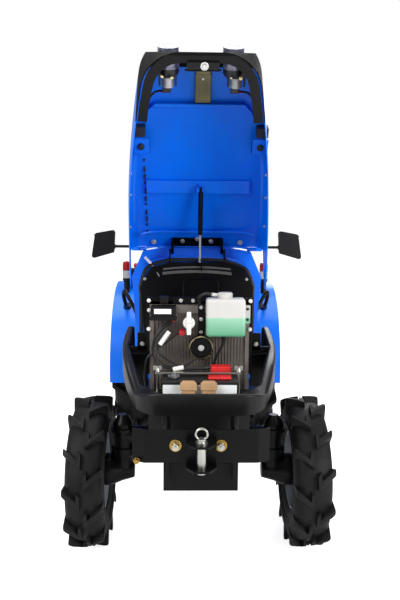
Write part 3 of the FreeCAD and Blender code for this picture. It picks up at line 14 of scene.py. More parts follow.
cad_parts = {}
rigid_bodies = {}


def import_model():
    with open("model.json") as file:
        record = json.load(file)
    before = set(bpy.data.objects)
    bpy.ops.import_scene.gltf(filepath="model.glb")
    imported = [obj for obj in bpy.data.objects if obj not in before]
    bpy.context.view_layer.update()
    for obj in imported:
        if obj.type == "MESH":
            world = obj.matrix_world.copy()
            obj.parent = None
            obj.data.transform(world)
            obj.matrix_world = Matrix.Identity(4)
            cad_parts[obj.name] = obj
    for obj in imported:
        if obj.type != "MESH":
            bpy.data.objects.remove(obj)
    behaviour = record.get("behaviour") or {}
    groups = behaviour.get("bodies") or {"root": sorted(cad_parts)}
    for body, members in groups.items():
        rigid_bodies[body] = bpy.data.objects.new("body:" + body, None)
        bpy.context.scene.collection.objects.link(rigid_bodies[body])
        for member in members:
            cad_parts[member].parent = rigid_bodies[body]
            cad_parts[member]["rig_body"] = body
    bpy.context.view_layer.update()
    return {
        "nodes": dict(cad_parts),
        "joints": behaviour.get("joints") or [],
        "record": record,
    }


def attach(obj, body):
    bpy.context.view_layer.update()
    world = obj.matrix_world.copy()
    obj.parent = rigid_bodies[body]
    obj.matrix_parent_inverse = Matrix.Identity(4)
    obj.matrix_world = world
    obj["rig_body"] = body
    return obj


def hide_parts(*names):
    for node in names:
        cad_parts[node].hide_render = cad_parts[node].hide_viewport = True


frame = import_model()
joints = {joint["name"]: joint for joint in frame["joints"]}
AXLE_Y = Vector(joints["front_wheel_left_spin"]["pos_m"]).y

# -------- stage
# The tractor stands on a seamless pale studio floor. Three large soft lamps and a white room light
# it evenly; the camera stands at a driver's eye height, a little right of the centreline.


def linear(code):
    """An sRGB hex colour as linear red, green, blue and alpha."""
    parts = [int(code[start:start + 2], 16) / 255 for start in (1, 3, 5)]
    return [p / 12.92 if p <= 0.04045 else ((p + 0.055) / 1.055) ** 2.4 for p in parts] + [1.0]


def add(tree, kind, **words):
    """Adds a node; lower-case words set its properties, and the others its inputs, by value or link."""
    node = tree.nodes.new("ShaderNode" + kind)
    for word, given in words.items():
        if word[0].islower():
            setattr(node, word, given)
            continue
        socket = node.inputs[word.replace("_", " ")]
        if isinstance(given, bpy.types.NodeSocket):
            tree.links.new(given, socket)
        else:
            socket.default_value = given
    return node


def seen_level(tree, unseen, seen):
    """One level for what the camera sees, also through glass, and another for all other light."""
    path = add(tree, "LightPath")
    either = add(tree, "Math", operation="MAXIMUM")
    tree.links.new(path.outputs["Is Camera Ray"], either.inputs[0])
    tree.links.new(path.outputs["Is Transmission Ray"], either.inputs[1])
    return add(tree, "MapRange", Value=either.outputs[0], To_Min=unseen, To_Max=seen).outputs[0]


ROOM_LIGHT = 0.42
FLOOR_GLOW = 0.74
FLOOR_HALF = 40.0

world = bpy.data.worlds.new("studio")
bpy.context.scene.world = world
world.use_nodes = True
tree = world.node_tree
tree.nodes.clear()
sky = add(tree, "Background", Color=linear("#ffffff"), Strength=seen_level(tree, ROOM_LIGHT, 1.0))
add(tree, "OutputWorld", Surface=sky.outputs[0])

floor_paint = bpy.data.materials.new("pale_studio_floor")
floor_paint.use_nodes = True
tree = floor_paint.node_tree
tree.nodes.clear()
matte = add(tree, "BsdfDiffuse", Color=linear("#e9e9e9"))
own = add(tree, "Emission", Color=linear("#ffffff"), Strength=seen_level(tree, 0.0, FLOOR_GLOW))
both = add(tree, "AddShader")
tree.links.new(matte.outputs[0], both.inputs[0])
tree.links.new(own.outputs[0], both.inputs[1])
add(tree, "OutputMaterial", Surface=both.outputs[0])

bm = bmesh.new()
bmesh.ops.create_grid(bm, x_segments=1, y_segments=1, size=FLOOR_HALF)
mesh = bpy.data.meshes.new("studio_floor")
bm.to_mesh(mesh)
bm.free()
floor = bpy.data.objects.new("studio_floor", mesh)
mesh.materials.append(floor_paint)
bpy.context.scene.collection.objects.link(floor)

for name, place, aim, wide, power in (
        ("key_softbox", (-2.6, -3.4, 3.4), (0.0, -0.6, 0.9), 2.2, 150.0),
        ("fill_softbox", (2.8, -3.4, 1.7), (0.0, -0.2, 1.0), 2.0, 125.0),
        ("top_softbox", (0.0, 0.4, 4.2), (0.0, 0.0, 0.6), 3.0, 120.0),
        ("back_softbox", (1.5, 4.2, 2.8), (0.0, 0.4, 0.8), 2.4, 80.0)):
    lamp = bpy.data.lights.new(name, "AREA")
    lamp.energy, lamp.size = power, wide
    stand = bpy.data.objects.new(name, lamp)
    stand.location = place
    stand.rotation_mode = "QUATERNION"
    stand.rotation_quaternion = (Vector(aim) - Vector(place)).to_track_quat("-Z", "Y")
    bpy.context.scene.collection.objects.link(stand)

CAMERA_STANDS = Vector((-0.047, AXLE_Y - 2.401, 1.253))
CAMERA_TURNS = (("Z", -1.19), ("X", -6.75), ("Y", -0.44), ("X", 90.0))
PICTURE_HEIGHT, FOCAL_LENGTH = 36.0, 37.56
eye = bpy.data.cameras.new("camera")
eye.sensor_fit, eye.sensor_height, eye.lens = "VERTICAL", PICTURE_HEIGHT, FOCAL_LENGTH
camera = bpy.data.objects.new("camera", eye)
stand = Matrix.Translation(CAMERA_STANDS)
for axis, degrees in CAMERA_TURNS:
    stand = stand @ Matrix.Rotation(math.radians(degrees), 4, axis)
camera.matrix_world = stand
bpy.context.scene.collection.objects.link(camera)
bpy.context.scene.camera = camera
bpy.context.scene.view_settings.view_transform = "Standard"


CLOUD_EDGES = (0.32, 0.68)


def surface(name, colour, shade, roughness, grain_mm, depth_mm, drift=0.06, cloud_mm=140, **sockets):
    """A node material: colour and gloss drift in clouds between two tones, and grain has a real size."""
    made = bpy.data.materials.new(name)
    made.use_nodes = True
    tree = made.node_tree
    shader = tree.nodes["Principled BSDF"]
    where = add(tree, "TexCoord").outputs["Object"]
    cloud = add(tree, "TexNoise", Vector=where, Scale=1000 / cloud_mm, Detail=6.0, Roughness=0.6)
    tones = add(tree, "ValToRGB", Fac=cloud.outputs["Fac"])
    for end, edge, tone in zip(tones.color_ramp.elements, CLOUD_EDGES, (shade, colour)):
        end.position, end.color = edge, linear(tone)
    tree.links.new(tones.outputs["Color"], shader.inputs["Base Color"])
    gloss = add(tree, "MapRange", Value=cloud.outputs["Fac"], From_Min=0.3, From_Max=0.7,
                To_Min=roughness + drift, To_Max=max(roughness - drift, 0.02))
    tree.links.new(gloss.outputs[0], shader.inputs["Roughness"])
    grain = add(tree, "TexNoise", Vector=where, Scale=1000 / grain_mm, Detail=3.0)
    relief = add(tree, "Bump", Height=grain.outputs["Fac"], Strength=0.6, Distance=depth_mm / 1000)
    tree.links.new(relief.outputs[0], shader.inputs["Normal"])
    for word, given in sockets.items():
        shader.inputs[word.replace("_", " ")].default_value = given
    return made


def dress(material, *names):
    """Puts a finish on CAD nodes that keep their own shape."""
    for name in names:
        held = frame["nodes"][name].data
        held.materials.clear()
        held.materials.append(material)


# Moulded tyre rubber: near black, soft sheen, with a dry grey bloom.
rubber = surface("moulded_tyre_rubber", "#161617", "#0b0b0c", 0.58, 2.2, 0.25, cloud_mm=60,
                 Specular_IOR_Level=0.2)
# Silver wheel enamel: metallic flake under a soft gloss.
wheel_enamel = surface("silver_wheel_enamel", "#b9bcc0", "#a2a5aa", 0.38, 1.2, 0.03, Metallic=0.55)
# Azure machine enamel: deep, glossy, with a fine orange peel.
blue_enamel = surface("azure_machine_enamel", "#0073ee", "#006ae2", 0.34, 2.5, 0.05, Coat_Weight=0.12,
                      Specular_IOR_Level=0.25, Coat_Roughness=0.12)
# Black chassis enamel: satin with a slight orange peel.
black_enamel = surface("black_chassis_enamel", "#0b0b0d", "#070708", 0.32, 2.0, 0.06,
                       Specular_IOR_Level=0.13)
# Moulded black polypropylene: fine leather grain, dull.
black_plastic = surface("moulded_black_polypropylene", "#0f0f10", "#0a0a0b", 0.38, 1.1, 0.06,
                        Specular_IOR_Level=0.24)
# Painted cast iron: sand-cast skin under satin black.
cast_iron = surface("painted_cast_iron", "#111214", "#0a0a0c", 0.46, 4.0, 0.4,
                    Specular_IOR_Level=0.18)
# Zinc-plated steel: bright, with a faint yellow passivation.
zinc = surface("zinc_plated_steel", "#c9c6ba", "#aeb0ad", 0.32, 1.0, 0.02, Metallic=1.0)
# Black vinyl on foam: a soft, low sheen over a pressed leather grain.
vinyl = surface("black_vinyl_seat_cover", "#1c1c1e", "#151517", 0.45, 1.6, 0.12)
# Blown polyethylene: pale and half clear, like wax.
bottle_plastic = surface("translucent_polyethylene", "#dfe9e4", "#cfe0d6", 0.35, 2.0, 0.03,
                         Transmission_Weight=0.5)
# Moulded lamp lens over a reflector: bright and dark patches about 16 mm apart, in two tones of its
# colour, are a painted reflection of the reflector through the lens's flutes.
lens = surface("clear_moulded_lens", "#8f90a6", "#4f5066", 0.14, 9.0, 1.2, cloud_mm=16, Metallic=0.5)
# Moulded battery case: black and slightly dusty.
battery_case = surface("battery_polypropylene", "#151516", "#0f0f10", 0.42, 1.4, 0.05)

by_slot = {"tyre_rubber": rubber, "wheel_paint": wheel_enamel, "blue_paint": blue_enamel,
           "black_plastic": black_plastic, "black_paint": black_enamel, "engine_cast": cast_iron,
           "battery_case": battery_case, "bottle_plastic": bottle_plastic, "zinc_steel": zinc,
           "lamp_glass": lens, "seat_vinyl": vinyl}
slot_of = {part["node"]: part["material_slot"] for part in frame["record"]["subparts"]}
for node, slot in slot_of.items():
    dress(by_slot[slot], node)

# -------- tyres
# Farm tyres of the R-1 kind, moulded in a two-part mould: a round-shouldered carcass with 45 degree
# bars that alternate from side to side and run down over the shoulder. They are plain black rubber.


def finished(name, bm, material, slot, body="chassis", replaces=(), eased=0.0, steps=2, sharp=32):
    """Turns a bmesh into a shaded object on a body; eased rounds its sharp edges by a modifier."""
    mesh = bpy.data.meshes.new(name)
    bm.to_mesh(mesh)
    bm.free()
    mesh.materials.append(material)
    mesh.shade_smooth()
    mesh.set_sharp_from_angle(angle=math.radians(sharp))
    made = bpy.data.objects.new(name, mesh)
    bpy.context.scene.collection.objects.link(made)
    if eased:
        round_off = made.modifiers.new("eased_edges", "BEVEL")
        round_off.width, round_off.segments, round_off.angle_limit = eased, steps, math.radians(30)
        round_off.harden_normals = True
    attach(made, body)
    if replaces:
        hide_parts(*replaces)
    return made


def turned(bm, profile, at, axis, steps=72):
    """Spins a profile of (along, radius) points round an axis; its ends close on the axis or meet."""
    axis, at = Vector(axis).normalized(), Vector(at)
    out = axis.orthogonal().normalized()
    lathe = bmesh.new()
    line = [lathe.verts.new(at + axis * along + out * radius) for along, radius in profile]
    edges = [lathe.edges.new(pair) for pair in zip(line, line[1:])]
    bmesh.ops.spin(lathe, geom=line + edges, cent=at, axis=axis, angle=2 * math.pi, steps=steps,
                   use_merge=True)
    bmesh.ops.remove_doubles(lathe, verts=lathe.verts, dist=1e-6)
    bmesh.ops.recalc_face_normals(lathe, faces=lathe.faces)
    joined(bm, lathe)


def joined(bm, part, placed=Matrix()):
    """Adds one bmesh to another, moved by a matrix, and frees it."""
    shape = bpy.data.meshes.new("part")
    part.to_mesh(shape)
    part.free()
    shape.transform(placed)
    bm.from_mesh(shape)
    bpy.data.meshes.remove(shape)


def skinned(bm, rings, loop=False):
    """Joins rings of points by faces; a loop closes on its first ring, any other run has end faces."""
    rings = [[bm.verts.new(point) for point in ring] for ring in rings]
    faces = [] if loop else [bm.faces.new(rings[0]), bm.faces.new(rings[-1])]
    for one, two in zip(rings, rings[1:] + (rings[:1] if loop else [])):
        for k in range(len(one)):
            after = (k + 1) % len(one)
            faces.append(bm.faces.new((one[k], two[k], two[after], one[after])))
    bmesh.ops.recalc_face_normals(bm, faces=faces)


# The side wall from bead to crown, as shares of the half width and of the wall's height.
SIDE_WALL = ((0.66, 0.0), (0.8, 0.1), (0.9, 0.22), (0.97, 0.36), (1.0, 0.5), (0.99, 0.63), (0.96, 0.75),
             (0.88, 0.86), (0.74, 0.94), (0.5, 0.98), (0.25, 1.0))
BEAD_SEAT, BEAD_DROP, CROWN_ARCH = 0.6, 0.002, 0.001
WALL_RIBS = ((0.3, 0.955), (0.42, 0.995))
# Stations of a bar from the middle of the tread to the side; it sinks into the wall past the shoulder.
BAR_STATIONS = (0.0, 0.05, 0.1, 0.17, 0.21, 0.28, 0.4, 0.52, 0.64, 0.74, 0.83, 0.91, 1.0)
BAR_SHOULDER, BAR_SWEEP, BAR_LEAD, BAR_HOOK, HOOK_END = 0.7, 0.76, 0.45, 1.15, 0.18


def bar_ring(t, side, radius, half, crown, wall, bar):
    """The bar's outline at a station, wrapped on the tread's curve."""
    sink = max(0.0, t - BAR_SHOULDER) / (1 - BAR_SHOULDER)
    top = radius - 0.003 * t * t - 0.003 * sink ** 3
    low = crown - 0.012 - 0.36 * wall * sink ** 1.5
    run = half * (BAR_SWEEP * t ** 0.95 - BAR_LEAD)
    hook = BAR_HOOK if t < HOOK_END else 0.0
    ease = min(0.0035, 0.3 * (radius - crown)) if 0.0 < t < 1.0 else 0.006
    outline = ((-0.6, low), (-0.48, top - ease), (-0.48 + ease / bar, top),
               (0.44 + hook - ease / bar, top), (0.44 + hook, top - ease), (0.56 + hook, low))
    x = side * (0.006 + t * (1.008 * half - 0.006))
    turns = [((run + across * bar) / radius, r) for across, r in outline]
    return [Vector((x, r * math.sin(angle), r * math.cos(angle))) for angle, r in turns]


def farm_tyre(name, node, middle, radius, width, lug, bar, count, rim, body):
    """A carcass spun from its section, with one bar bent to the crown and copied round both sides."""
    half, crown = width / 2, radius - lug
    wall = crown - rim
    bm = bmesh.new()
    section = [(x * half, rim + rise * wall) for x, rise in SIDE_WALL]
    profile = [(-x, r) for x, r in section] + [(0.0, crown + CROWN_ARCH)] + section[::-1]
    profile += [(BEAD_SEAT * half, rim - BEAD_DROP), (-BEAD_SEAT * half, rim - BEAD_DROP), profile[0]]
    turned(bm, profile, middle, (1, 0, 0), 96)
    for side in (-1, 1):
        for rise, out in WALL_RIBS:
            foot, proud, at = side * (out * half - 0.002), side * (out * half + 0.0018), rim + rise * wall
            rib = [(foot, at - 0.004), (proud, at - 0.002), (proud, at + 0.002), (foot, at + 0.004)]
            turned(bm, rib + rib[:1], middle, (1, 0, 0), 96)
        for k in range(count):
            lump = bmesh.new()
            skinned(lump, [bar_ring(t, side, radius, half, crown, wall, bar) for t in BAR_STATIONS])
            turn = 2 * math.pi / count * (k + (0.5 if side > 0 else 0.0))
            joined(bm, lump, Matrix.Translation(middle) @ Matrix.Rotation(turn, 4, "X"))
    return finished(name, bm, rubber, "tyre_rubber", body, replaces=(node,), sharp=40)


# Radius, width, bar height, bar width, bars a side and rim radius.
TYRES = {"front": (0.29, 0.14, 0.022, 0.027, 12, 0.152), "rear": (0.44, 0.205, 0.03, 0.036, 14, 0.229)}
for end, (radius, width, lug, bar, count, rim) in TYRES.items():
    for hand in ("right", "left"):
        wheel = "%s_wheel_%s" % (end, hand)
        farm_tyre("%s_farm_tyre_%s" % (end, hand), "%s_tyre_%s" % (end, hand),
                  Vector(joints[wheel + "_spin"]["pos_m"]), radius, width, lug, bar, count, rim, wheel)

# -------- rims
# Two-piece steel wheels, pressed and welded: a rolled flange, a dropped well and a dished disc with
# hand holes, all in silver enamel. Zinc-plated bolts hold the disc on its hub.


def spot(x, behind, z):
    """A point in millimetres: across, behind the front axle, and above the ground."""
    return Vector((x / 1000, AXLE_Y + behind / 1000, z / 1000))


def softened(node, width, material=None):
    """A merged copy of a CAD piece, with its hard edges eased, shown in place of it."""
    bm = bmesh.new()
    bm.from_mesh(frame["nodes"][node].data)
    bmesh.ops.remove_doubles(bm, verts=bm.verts, dist=1e-5)
    bmesh.ops.dissolve_limit(bm, angle_limit=math.radians(0.5), verts=bm.verts, edges=bm.edges)
    return finished(node + "_eased", bm, material or by_slot[slot_of[node]], slot_of[node],
                    frame["nodes"][node]["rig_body"], replaces=(node,), eased=width)


def around(count):
    """The cosine and sine of each of a ring's equal steps."""
    return [(math.cos(a), math.sin(a)) for a in (2 * math.pi * k / count for k in range(count))]


FORWARD, DOWN = (0, -1, 0), (0, 0, -1)


def bolt(bm, at, axis, across, washer=1.25, tall=0.65):
    """A hexagon head on its washer, seated at a point, facing along an axis; across flats in metres."""
    axis = Vector(axis).normalized()
    turn = axis.to_track_quat("Z", "Y").to_matrix().to_4x4()
    for radius, sides, low, high in ((across * washer / 1.7, 24, 0.0, across * 0.14),
                                     (across / math.sqrt(3), 6, across * 0.14, across * (0.14 + tall))):
        seat = Matrix.Translation(Vector(at) + axis * (low + high) / 2) @ turn
        bmesh.ops.create_cone(bm, cap_ends=True, segments=sides, radius1=radius, radius2=radius * 0.97,
                              depth=high - low, matrix=seat)


def rod(bm, start, end, radius, tip=None, sides=24):
    """A round bar between two points, tapered when tip is given."""
    start, end = Vector(start), Vector(end)
    run = end - start
    turn = run.to_track_quat("Z", "Y").to_matrix().to_4x4()
    bmesh.ops.create_cone(bm, cap_ends=True, segments=sides, radius1=radius,
                          radius2=radius if tip is None else tip, depth=run.length,
                          matrix=Matrix.Translation((start + end) / 2) @ turn)


# Where the disc's face stands from the wheel's middle, the bolt circle's radius, and the bolts on it.
HUBS = {"front": (-0.002, 0.052, 5), "rear": (0.018, 0.054, 6)}
for end, (proud, circle, count) in HUBS.items():
    for hand, side in (("right", -1), ("left", 1)):
        wheel = "%s_wheel_%s" % (end, hand)
        softened("%s_rim_%s" % (end, hand), 0.001)
        centre = Vector(joints[wheel + "_spin"]["pos_m"]) + Vector((side * proud, 0, 0))
        bm = bmesh.new()
        for up, back in around(count):
            bolt(bm, centre + Vector((0, back, up)) * circle, (side, 0, 0), 0.019)
        rod(bm, centre, centre + Vector((side * 0.016, 0, 0)), 0.027, 0.023, sides=40)
        finished(wheel + "_bolts", bm, zinc, "zinc_steel", wheel, eased=0.001)

# -------- chassis
# The driven front axle, its bevel cases and hubs are iron castings in black paint; the frame rails,
# bumper and hitch are bent plate. Zinc bolts join them, and a spring-wire ring locks the hitch pin.

for node, width in (("front_axle", 0.0015), ("knuckle_right", 0.0015), ("knuckle_left", 0.0015),
                    ("front_frame", 0.0012), ("front_bumper", 0.001), ("front_hitch", 0.0012),
                    ("hitch_pin", 0.0008), ("gearbox", 0.002), ("platform", 0.001),
                    ("battery_tray", 0.001), ("drawbar", 0.001), ("lower_links", 0.001),
                    ("top_link", 0.001), ("lift_arms", 0.0012), ("pto_shaft", 0.0006),
                    ("seat_frame", 0.0008), ("rops_posts", 0.001), ("rops_hoop", 0.001)):
    softened(node, width)

# Yellow passivated zinc: a dull gold.
brass = surface("yellow_passivated_zinc", "#b99a4e", "#96783a", 0.36, 1.0, 0.02, Metallic=1.0)

BUMPER_FACE, BUMPER_BOLTS = -500, 567
washers, nuts = bmesh.new(), bmesh.new()
for x in (-81, 62):
    seat = spot(x, BUMPER_FACE - 3.5, BUMPER_BOLTS)
    rod(washers, spot(x, BUMPER_FACE, BUMPER_BOLTS), seat, 0.02, 0.019, sides=40)
    bolt(nuts, seat, FORWARD, 0.021, washer=0.95, tall=0.7)
    rod(nuts, spot(x, BUMPER_FACE - 15, BUMPER_BOLTS), spot(x, BUMPER_FACE - 27, BUMPER_BOLTS), 0.0058,
        0.0052)
finished("bumper_washers", washers, brass, "zinc_steel", eased=0.0008)
finished("bumper_nuts", nuts, zinc, "zinc_steel", eased=0.0008)

bm = bmesh.new()
bolt(bm, spot(-204, -497, 516), FORWARD, 0.014)
finished("bumper_corner_bolt", bm, brass, "zinc_steel", eased=0.0006)


def slab(bm, low, high):
    """A block between two corners."""
    low, high = Vector(low), Vector(high)
    middle, size = (low + high) / 2, high - low
    made = bmesh.ops.create_cube(bm, size=1.0)
    for v in made["verts"]:
        v.co = Vector(middle[k] + v.co[k] * abs(size[k]) for k in range(3))
    return made["verts"]


def blocks(name, corners, material, slot, **words):
    """A fixed piece of blocks, each between two corners in millimetres."""
    bm = bmesh.new()
    for low, high in corners:
        slab(bm, spot(*low), spot(*high))
    return finished(name, bm, material, slot, **words)


# Black rubber guards close the sides of the bay between the rails and the surround.
blocks("bay_side_guards", [((side * 108, -150, 500), (side * 188, -146, 655)) for side in (-1, 1)],
       black_plastic, "black_plastic", eased=0.001)

# -------- surround
# One thick moulding of grained black polypropylene closes the foot of the hood: two arms and a front
# rim with a rolled top edge.

# The front rim's top rolls inward: it drops most 95 mm behind its outer edge, and its foot stays.
ROLL, ROLL_STARTS, ROLL_ENDS, RING_FOOT = 43.0, -440, -215, 0.662
surround = softened("cowl_ring", 0.0)
for v in surround.data.vertices:
    behind = (v.co.y - AXLE_Y) * 1000
    if behind >= ROLL_ENDS:
        continue
    if behind < -345:
        roll = min(max(behind - ROLL_STARTS, 0.0) * 0.45, ROLL)
    else:
        roll = ROLL * (ROLL_ENDS - behind) / 130
    foot = RING_FOOT + 0.0002 * (behind - ROLL_STARTS)
    v.co.z -= roll / 1000 * min(max((v.co.z - foot) / 0.05, 0.0), 1.0)

bm = bmesh.new()
for x in (-216, 216):
    bolt(bm, spot(x, -60, 808), FORWARD, 0.012)
finished("surround_bolts", bm, zinc, "zinc_steel", eased=0.0005)

# -------- battery
# A sealed lead battery in a black case stands in a steel tray, before the radiator. A zinc bar and two
# long rods with wing nuts hold it; its front label is blank, the positive clamp wears a red boot, and
# two tan moulded blocks stand before its top.

# Radiator core: dusty grey-brown paint over copper fins.
core_paint = surface("painted_radiator_core", "#79706a", "#554d48", 0.5, 2.0, 0.08, Metallic=0.3)
softened("radiator", 0.0004, core_paint)
for node, width in (("battery", 0.0025), ("horn", 0.0008), ("bay_fittings", 0.0015)):
    softened(node, width)

# Blank film: white, smooth, hardly glossy.
label_film = surface("blank_white_label_film", "#e9ecec", "#dfe2e3", 0.38, 3.0, 0.02, drift=0.03)
# Dipped red rubber: even, with a soft sheen.
red_boot = surface("red_rubber_boot", "#d41a1c", "#b51214", 0.45, 2.0, 0.08)
# Cast lead: grey and dull where it is oxidised.
lead = surface("cast_lead_terminal", "#8f9092", "#77787b", 0.42, 1.6, 0.1, Metallic=0.8)
# Tan moulded plastic: matt.
tan_cap = surface("tan_moulded_cap", "#c09a72", "#a98460", 0.5, 2.0, 0.06)

blocks("battery_label", [((-128, -324, 660), (124, -322.5, 716))], label_film, "battery_case",
       eased=0.0004)

bm = bmesh.new()
for x in (-150, 136):
    rod(bm, spot(x, -240, 600), spot(x, -240, 762), 0.004)
    rod(bm, spot(x, -240, 744), spot(x, -240, 756), 0.009, 0.006)
    for side in (-1, 1):
        slab(bm, spot(x + side * 4, -242, 748), spot(x + side * 15, -238, 764))
slab(bm, spot(-158, -248, 735), spot(144, -232, 741))
finished("battery_hold_down", bm, zinc, "zinc_steel", eased=0.001)

bm = bmesh.new()
rod(bm, spot(-92, -275, 727), spot(-92, -275, 745), 0.01, 0.009)
rod(bm, spot(-92, -275, 731), spot(-92, -275, 741), 0.017)
slab(bm, spot(-112, -284, 732), spot(-72, -266, 740))
finished("battery_negative_clamp", bm, lead, "zinc_steel", eased=0.0015)

blocks("battery_positive_boot",
       [((38, -225, 726), (112, -180, 757)), ((27, -300, 727), (108, -262, 738))],
       red_boot, "battery_case", eased=0.006, steps=3)

# Each block is an upright eight-cornered cap on a narrower foot.
CAP_HALF, CAP_BACK = 28, -327
bm = bmesh.new()
for x in (-41, 28):
    for narrow, slope, low, high, front in ((0, 9, 704, 733, -351), (5, 2, 684, 704, -347)):
        half = CAP_HALF - narrow
        face = [(-half, low), (half, low), (half, high - slope), (half - slope, high),
                (slope - half, high), (-half, high - slope)]
        skinned(bm, [[spot(x + across, behind, z) for across, z in face] for behind in (front, CAP_BACK)])
finished("tan_octagonal_caps", bm, tan_cap, "black_plastic", eased=0.004, steps=3)

# -------- front of the radiator
# On the painted core and its frame hang a moulded fuse box, a fuel tap with a white wing handle, a disc
# horn with a brass rim, a sheet bracket with screws, knobs of nylon, and the loom with its plugs.

# White nylon: bright and even.
nylon = surface("white_nylon", "#e4e3e0", "#d4d2cd", 0.42, 2.0, 0.04)
# Lacquered brass: pale gold and bright.
horn_brass = surface("brass_horn_rim", "#dccfa4", "#bfae80", 0.3, 1.2, 0.03, Metallic=1.0)
# Extruded rubber: black and matt.
black_rubber = surface("extruded_black_rubber", "#131314", "#0b0b0c", 0.55, 1.4, 0.08)
# Moulded red plastic: bright, with a soft gloss.
red_plastic = surface("red_moulded_plastic", "#c4161c", "#a51016", 0.4, 1.6, 0.04)
# Turned steel under clear zinc, the brightest metal on the machine: its pale base colour is a quarter
# diffuse, a painted reflection that keeps it light where metal would mirror dark surroundings.
screw_steel = surface("bright_screw_steel", "#d6d6d4", "#b4b5b5", 0.3, 0.8, 0.02, Metallic=0.75)

HORN = spot(5, -152, 810)
for name, profile, material, slot in (
        ("horn_face", [(0.0, 0.0), (0.0, 0.0365), (0.003, 0.0385), (0.006, 0.0385), (0.01, 0.036)],
         black_enamel, "black_paint"),
        ("horn_rim", [(-0.001, 0.0385), (-0.004, 0.0405), (-0.001, 0.0435), (0.006, 0.0435),
                      (0.008, 0.041), (0.004, 0.0385), (-0.001, 0.0385)], horn_brass, "zinc_steel"),
        ("horn_inner_ring", [(0.000, 0.022), (-0.0025, 0.0235), (-0.0025, 0.0255), (0.002, 0.027),
                             (0.000, 0.022)], black_plastic, "black_plastic")):
    bm = bmesh.new()
    turned(bm, profile, HORN, (0, 1, 0), 64)
    finished(name, bm, material, slot)
bm = bmesh.new()
bolt(bm, HORN, FORWARD, 0.013, washer=1.5)
finished("horn_nut", bm, screw_steel, "zinc_steel", eased=0.0008)

blocks("fuse_box_lid", [((-176, -158, 922), (-89, -151, 959)), ((-182, -164, 912), (-84, -128, 926))],
       black_plastic, "black_plastic", eased=0.003, steps=3)
blocks("fuse_box_blank_patch", [((-166, -159.5, 936), (-104, -158.4, 954))], label_film, "black_plastic",
       eased=0.0003)

TAP_X, TAP_Z, WING = -40, 904, 42
bm = bmesh.new()
turned(bm, [(0.0, 0.0), (0.0, 0.02), (0.008, 0.022), (0.018, 0.022), (0.02, 0.018)],
       spot(TAP_X, -172, TAP_Z), (0, 1, 0), 40)
for end in (-1, 1):
    for v in slab(bm, spot(TAP_X - 7, -180, TAP_Z), spot(TAP_X + 7, -168, TAP_Z + end * WING)):
        far = abs(v.co.z - TAP_Z / 1000) / (WING / 1000)
        v.co.x = TAP_X / 1000 + (v.co.x - TAP_X / 1000) * (1.35 - 0.25 * far)
finished("fuel_tap_handle", bm, nylon, "black_plastic", eased=0.003, steps=3)

bm = bmesh.new()
rod(bm, spot(-65, -150, 865), spot(-65, -112, 865), 0.0105, 0.0115)
slab(bm, spot(-101, -140, 905), spot(-90, -120, 913))
finished("red_plugs", bm, red_plastic, "black_plastic", eased=0.002)

# The tap's strip and the core's frame, then a side panel, its top tab and its foot on each hand.
panels = [((-6, -106, 846), (18, -101, 968)), ((-100, -108, 966), (6, -101, 992)),
          ((-196, -100, 700), (-182, -90, 985)), ((182, -100, 700), (196, -90, 985)),
          ((-196, -100, 962), (196, -92, 990))]
for side in (-1, 1):
    panels += [((side * 196, -44, 640), (side * 268, -38, 795)),
               ((side * 196, -44, 780), (side * 236, -38, 848)),
               ((side * 200, -70, 768), (side * 262, -44, 774))]
blocks("radiator_brackets", panels, black_enamel, "black_paint", eased=0.0015)

bm = bmesh.new()
for x, z in ((5, 954), (5, 910), (5, 861), (-70, 979), (-25, 979)):
    bolt(bm, spot(x, -107, z), FORWARD, 0.01)
finished("radiator_screws", bm, screw_steel, "zinc_steel", eased=0.0006)

bm = bmesh.new()
for x, z in ((-188, 978), (188, 978), (-187, 942), (-189, 872), (187, 872)):
    turned(bm, [(-0.009, 0.0), (-0.009, 0.004), (-0.006, 0.0072), (0.0, 0.0075), (0.004, 0.006)],
           spot(x, -102, z), (0, 1, 0), 28)
finished("nylon_plugs", bm, nylon, "black_plastic")

blocks("relay", [((-147, -122, 968), (-116, -100, 996))], black_plastic, "black_plastic", eased=0.002)

SMOOTH_STEPS = 6


def wire(bm, points, radius, sides=10, closed=False):
    """A round wire or hose along smoothed points: rings set square to the run and joined by faces."""
    held = [Vector(p) for p in points]
    path = []
    last = len(held) if closed else len(held) - 1
    for i in range(last):
        a, b = held[i], held[(i + 1) % len(held)]
        before = held[i - 1] if closed or i else a * 2 - b
        after = held[(i + 2) % len(held)] if closed or i + 2 < len(held) else b * 2 - a
        for step in range(SMOOTH_STEPS):
            t = step / SMOOTH_STEPS
            path.append(0.5 * ((2 * a) + (b - before) * t + (2 * before - 5 * a + 4 * b - after) * t ** 2
                               + (3 * a - before - 3 * b + after) * t ** 3))
    if not closed:
        path.append(held[-1])
    side, rings = None, []
    for i, point in enumerate(path):
        ahead = path[(i + 1) % len(path)] if closed or i + 1 < len(path) else point
        behind = path[i - 1] if closed or i else point
        run = (ahead - behind).normalized()
        side = (side - run * side.dot(run)).normalized() if side else run.orthogonal().normalized()
        up = run.cross(side)
        rings.append([point + (side * across + up * rise) * radius for across, rise in around(sides)])
    skinned(bm, rings, loop=closed)


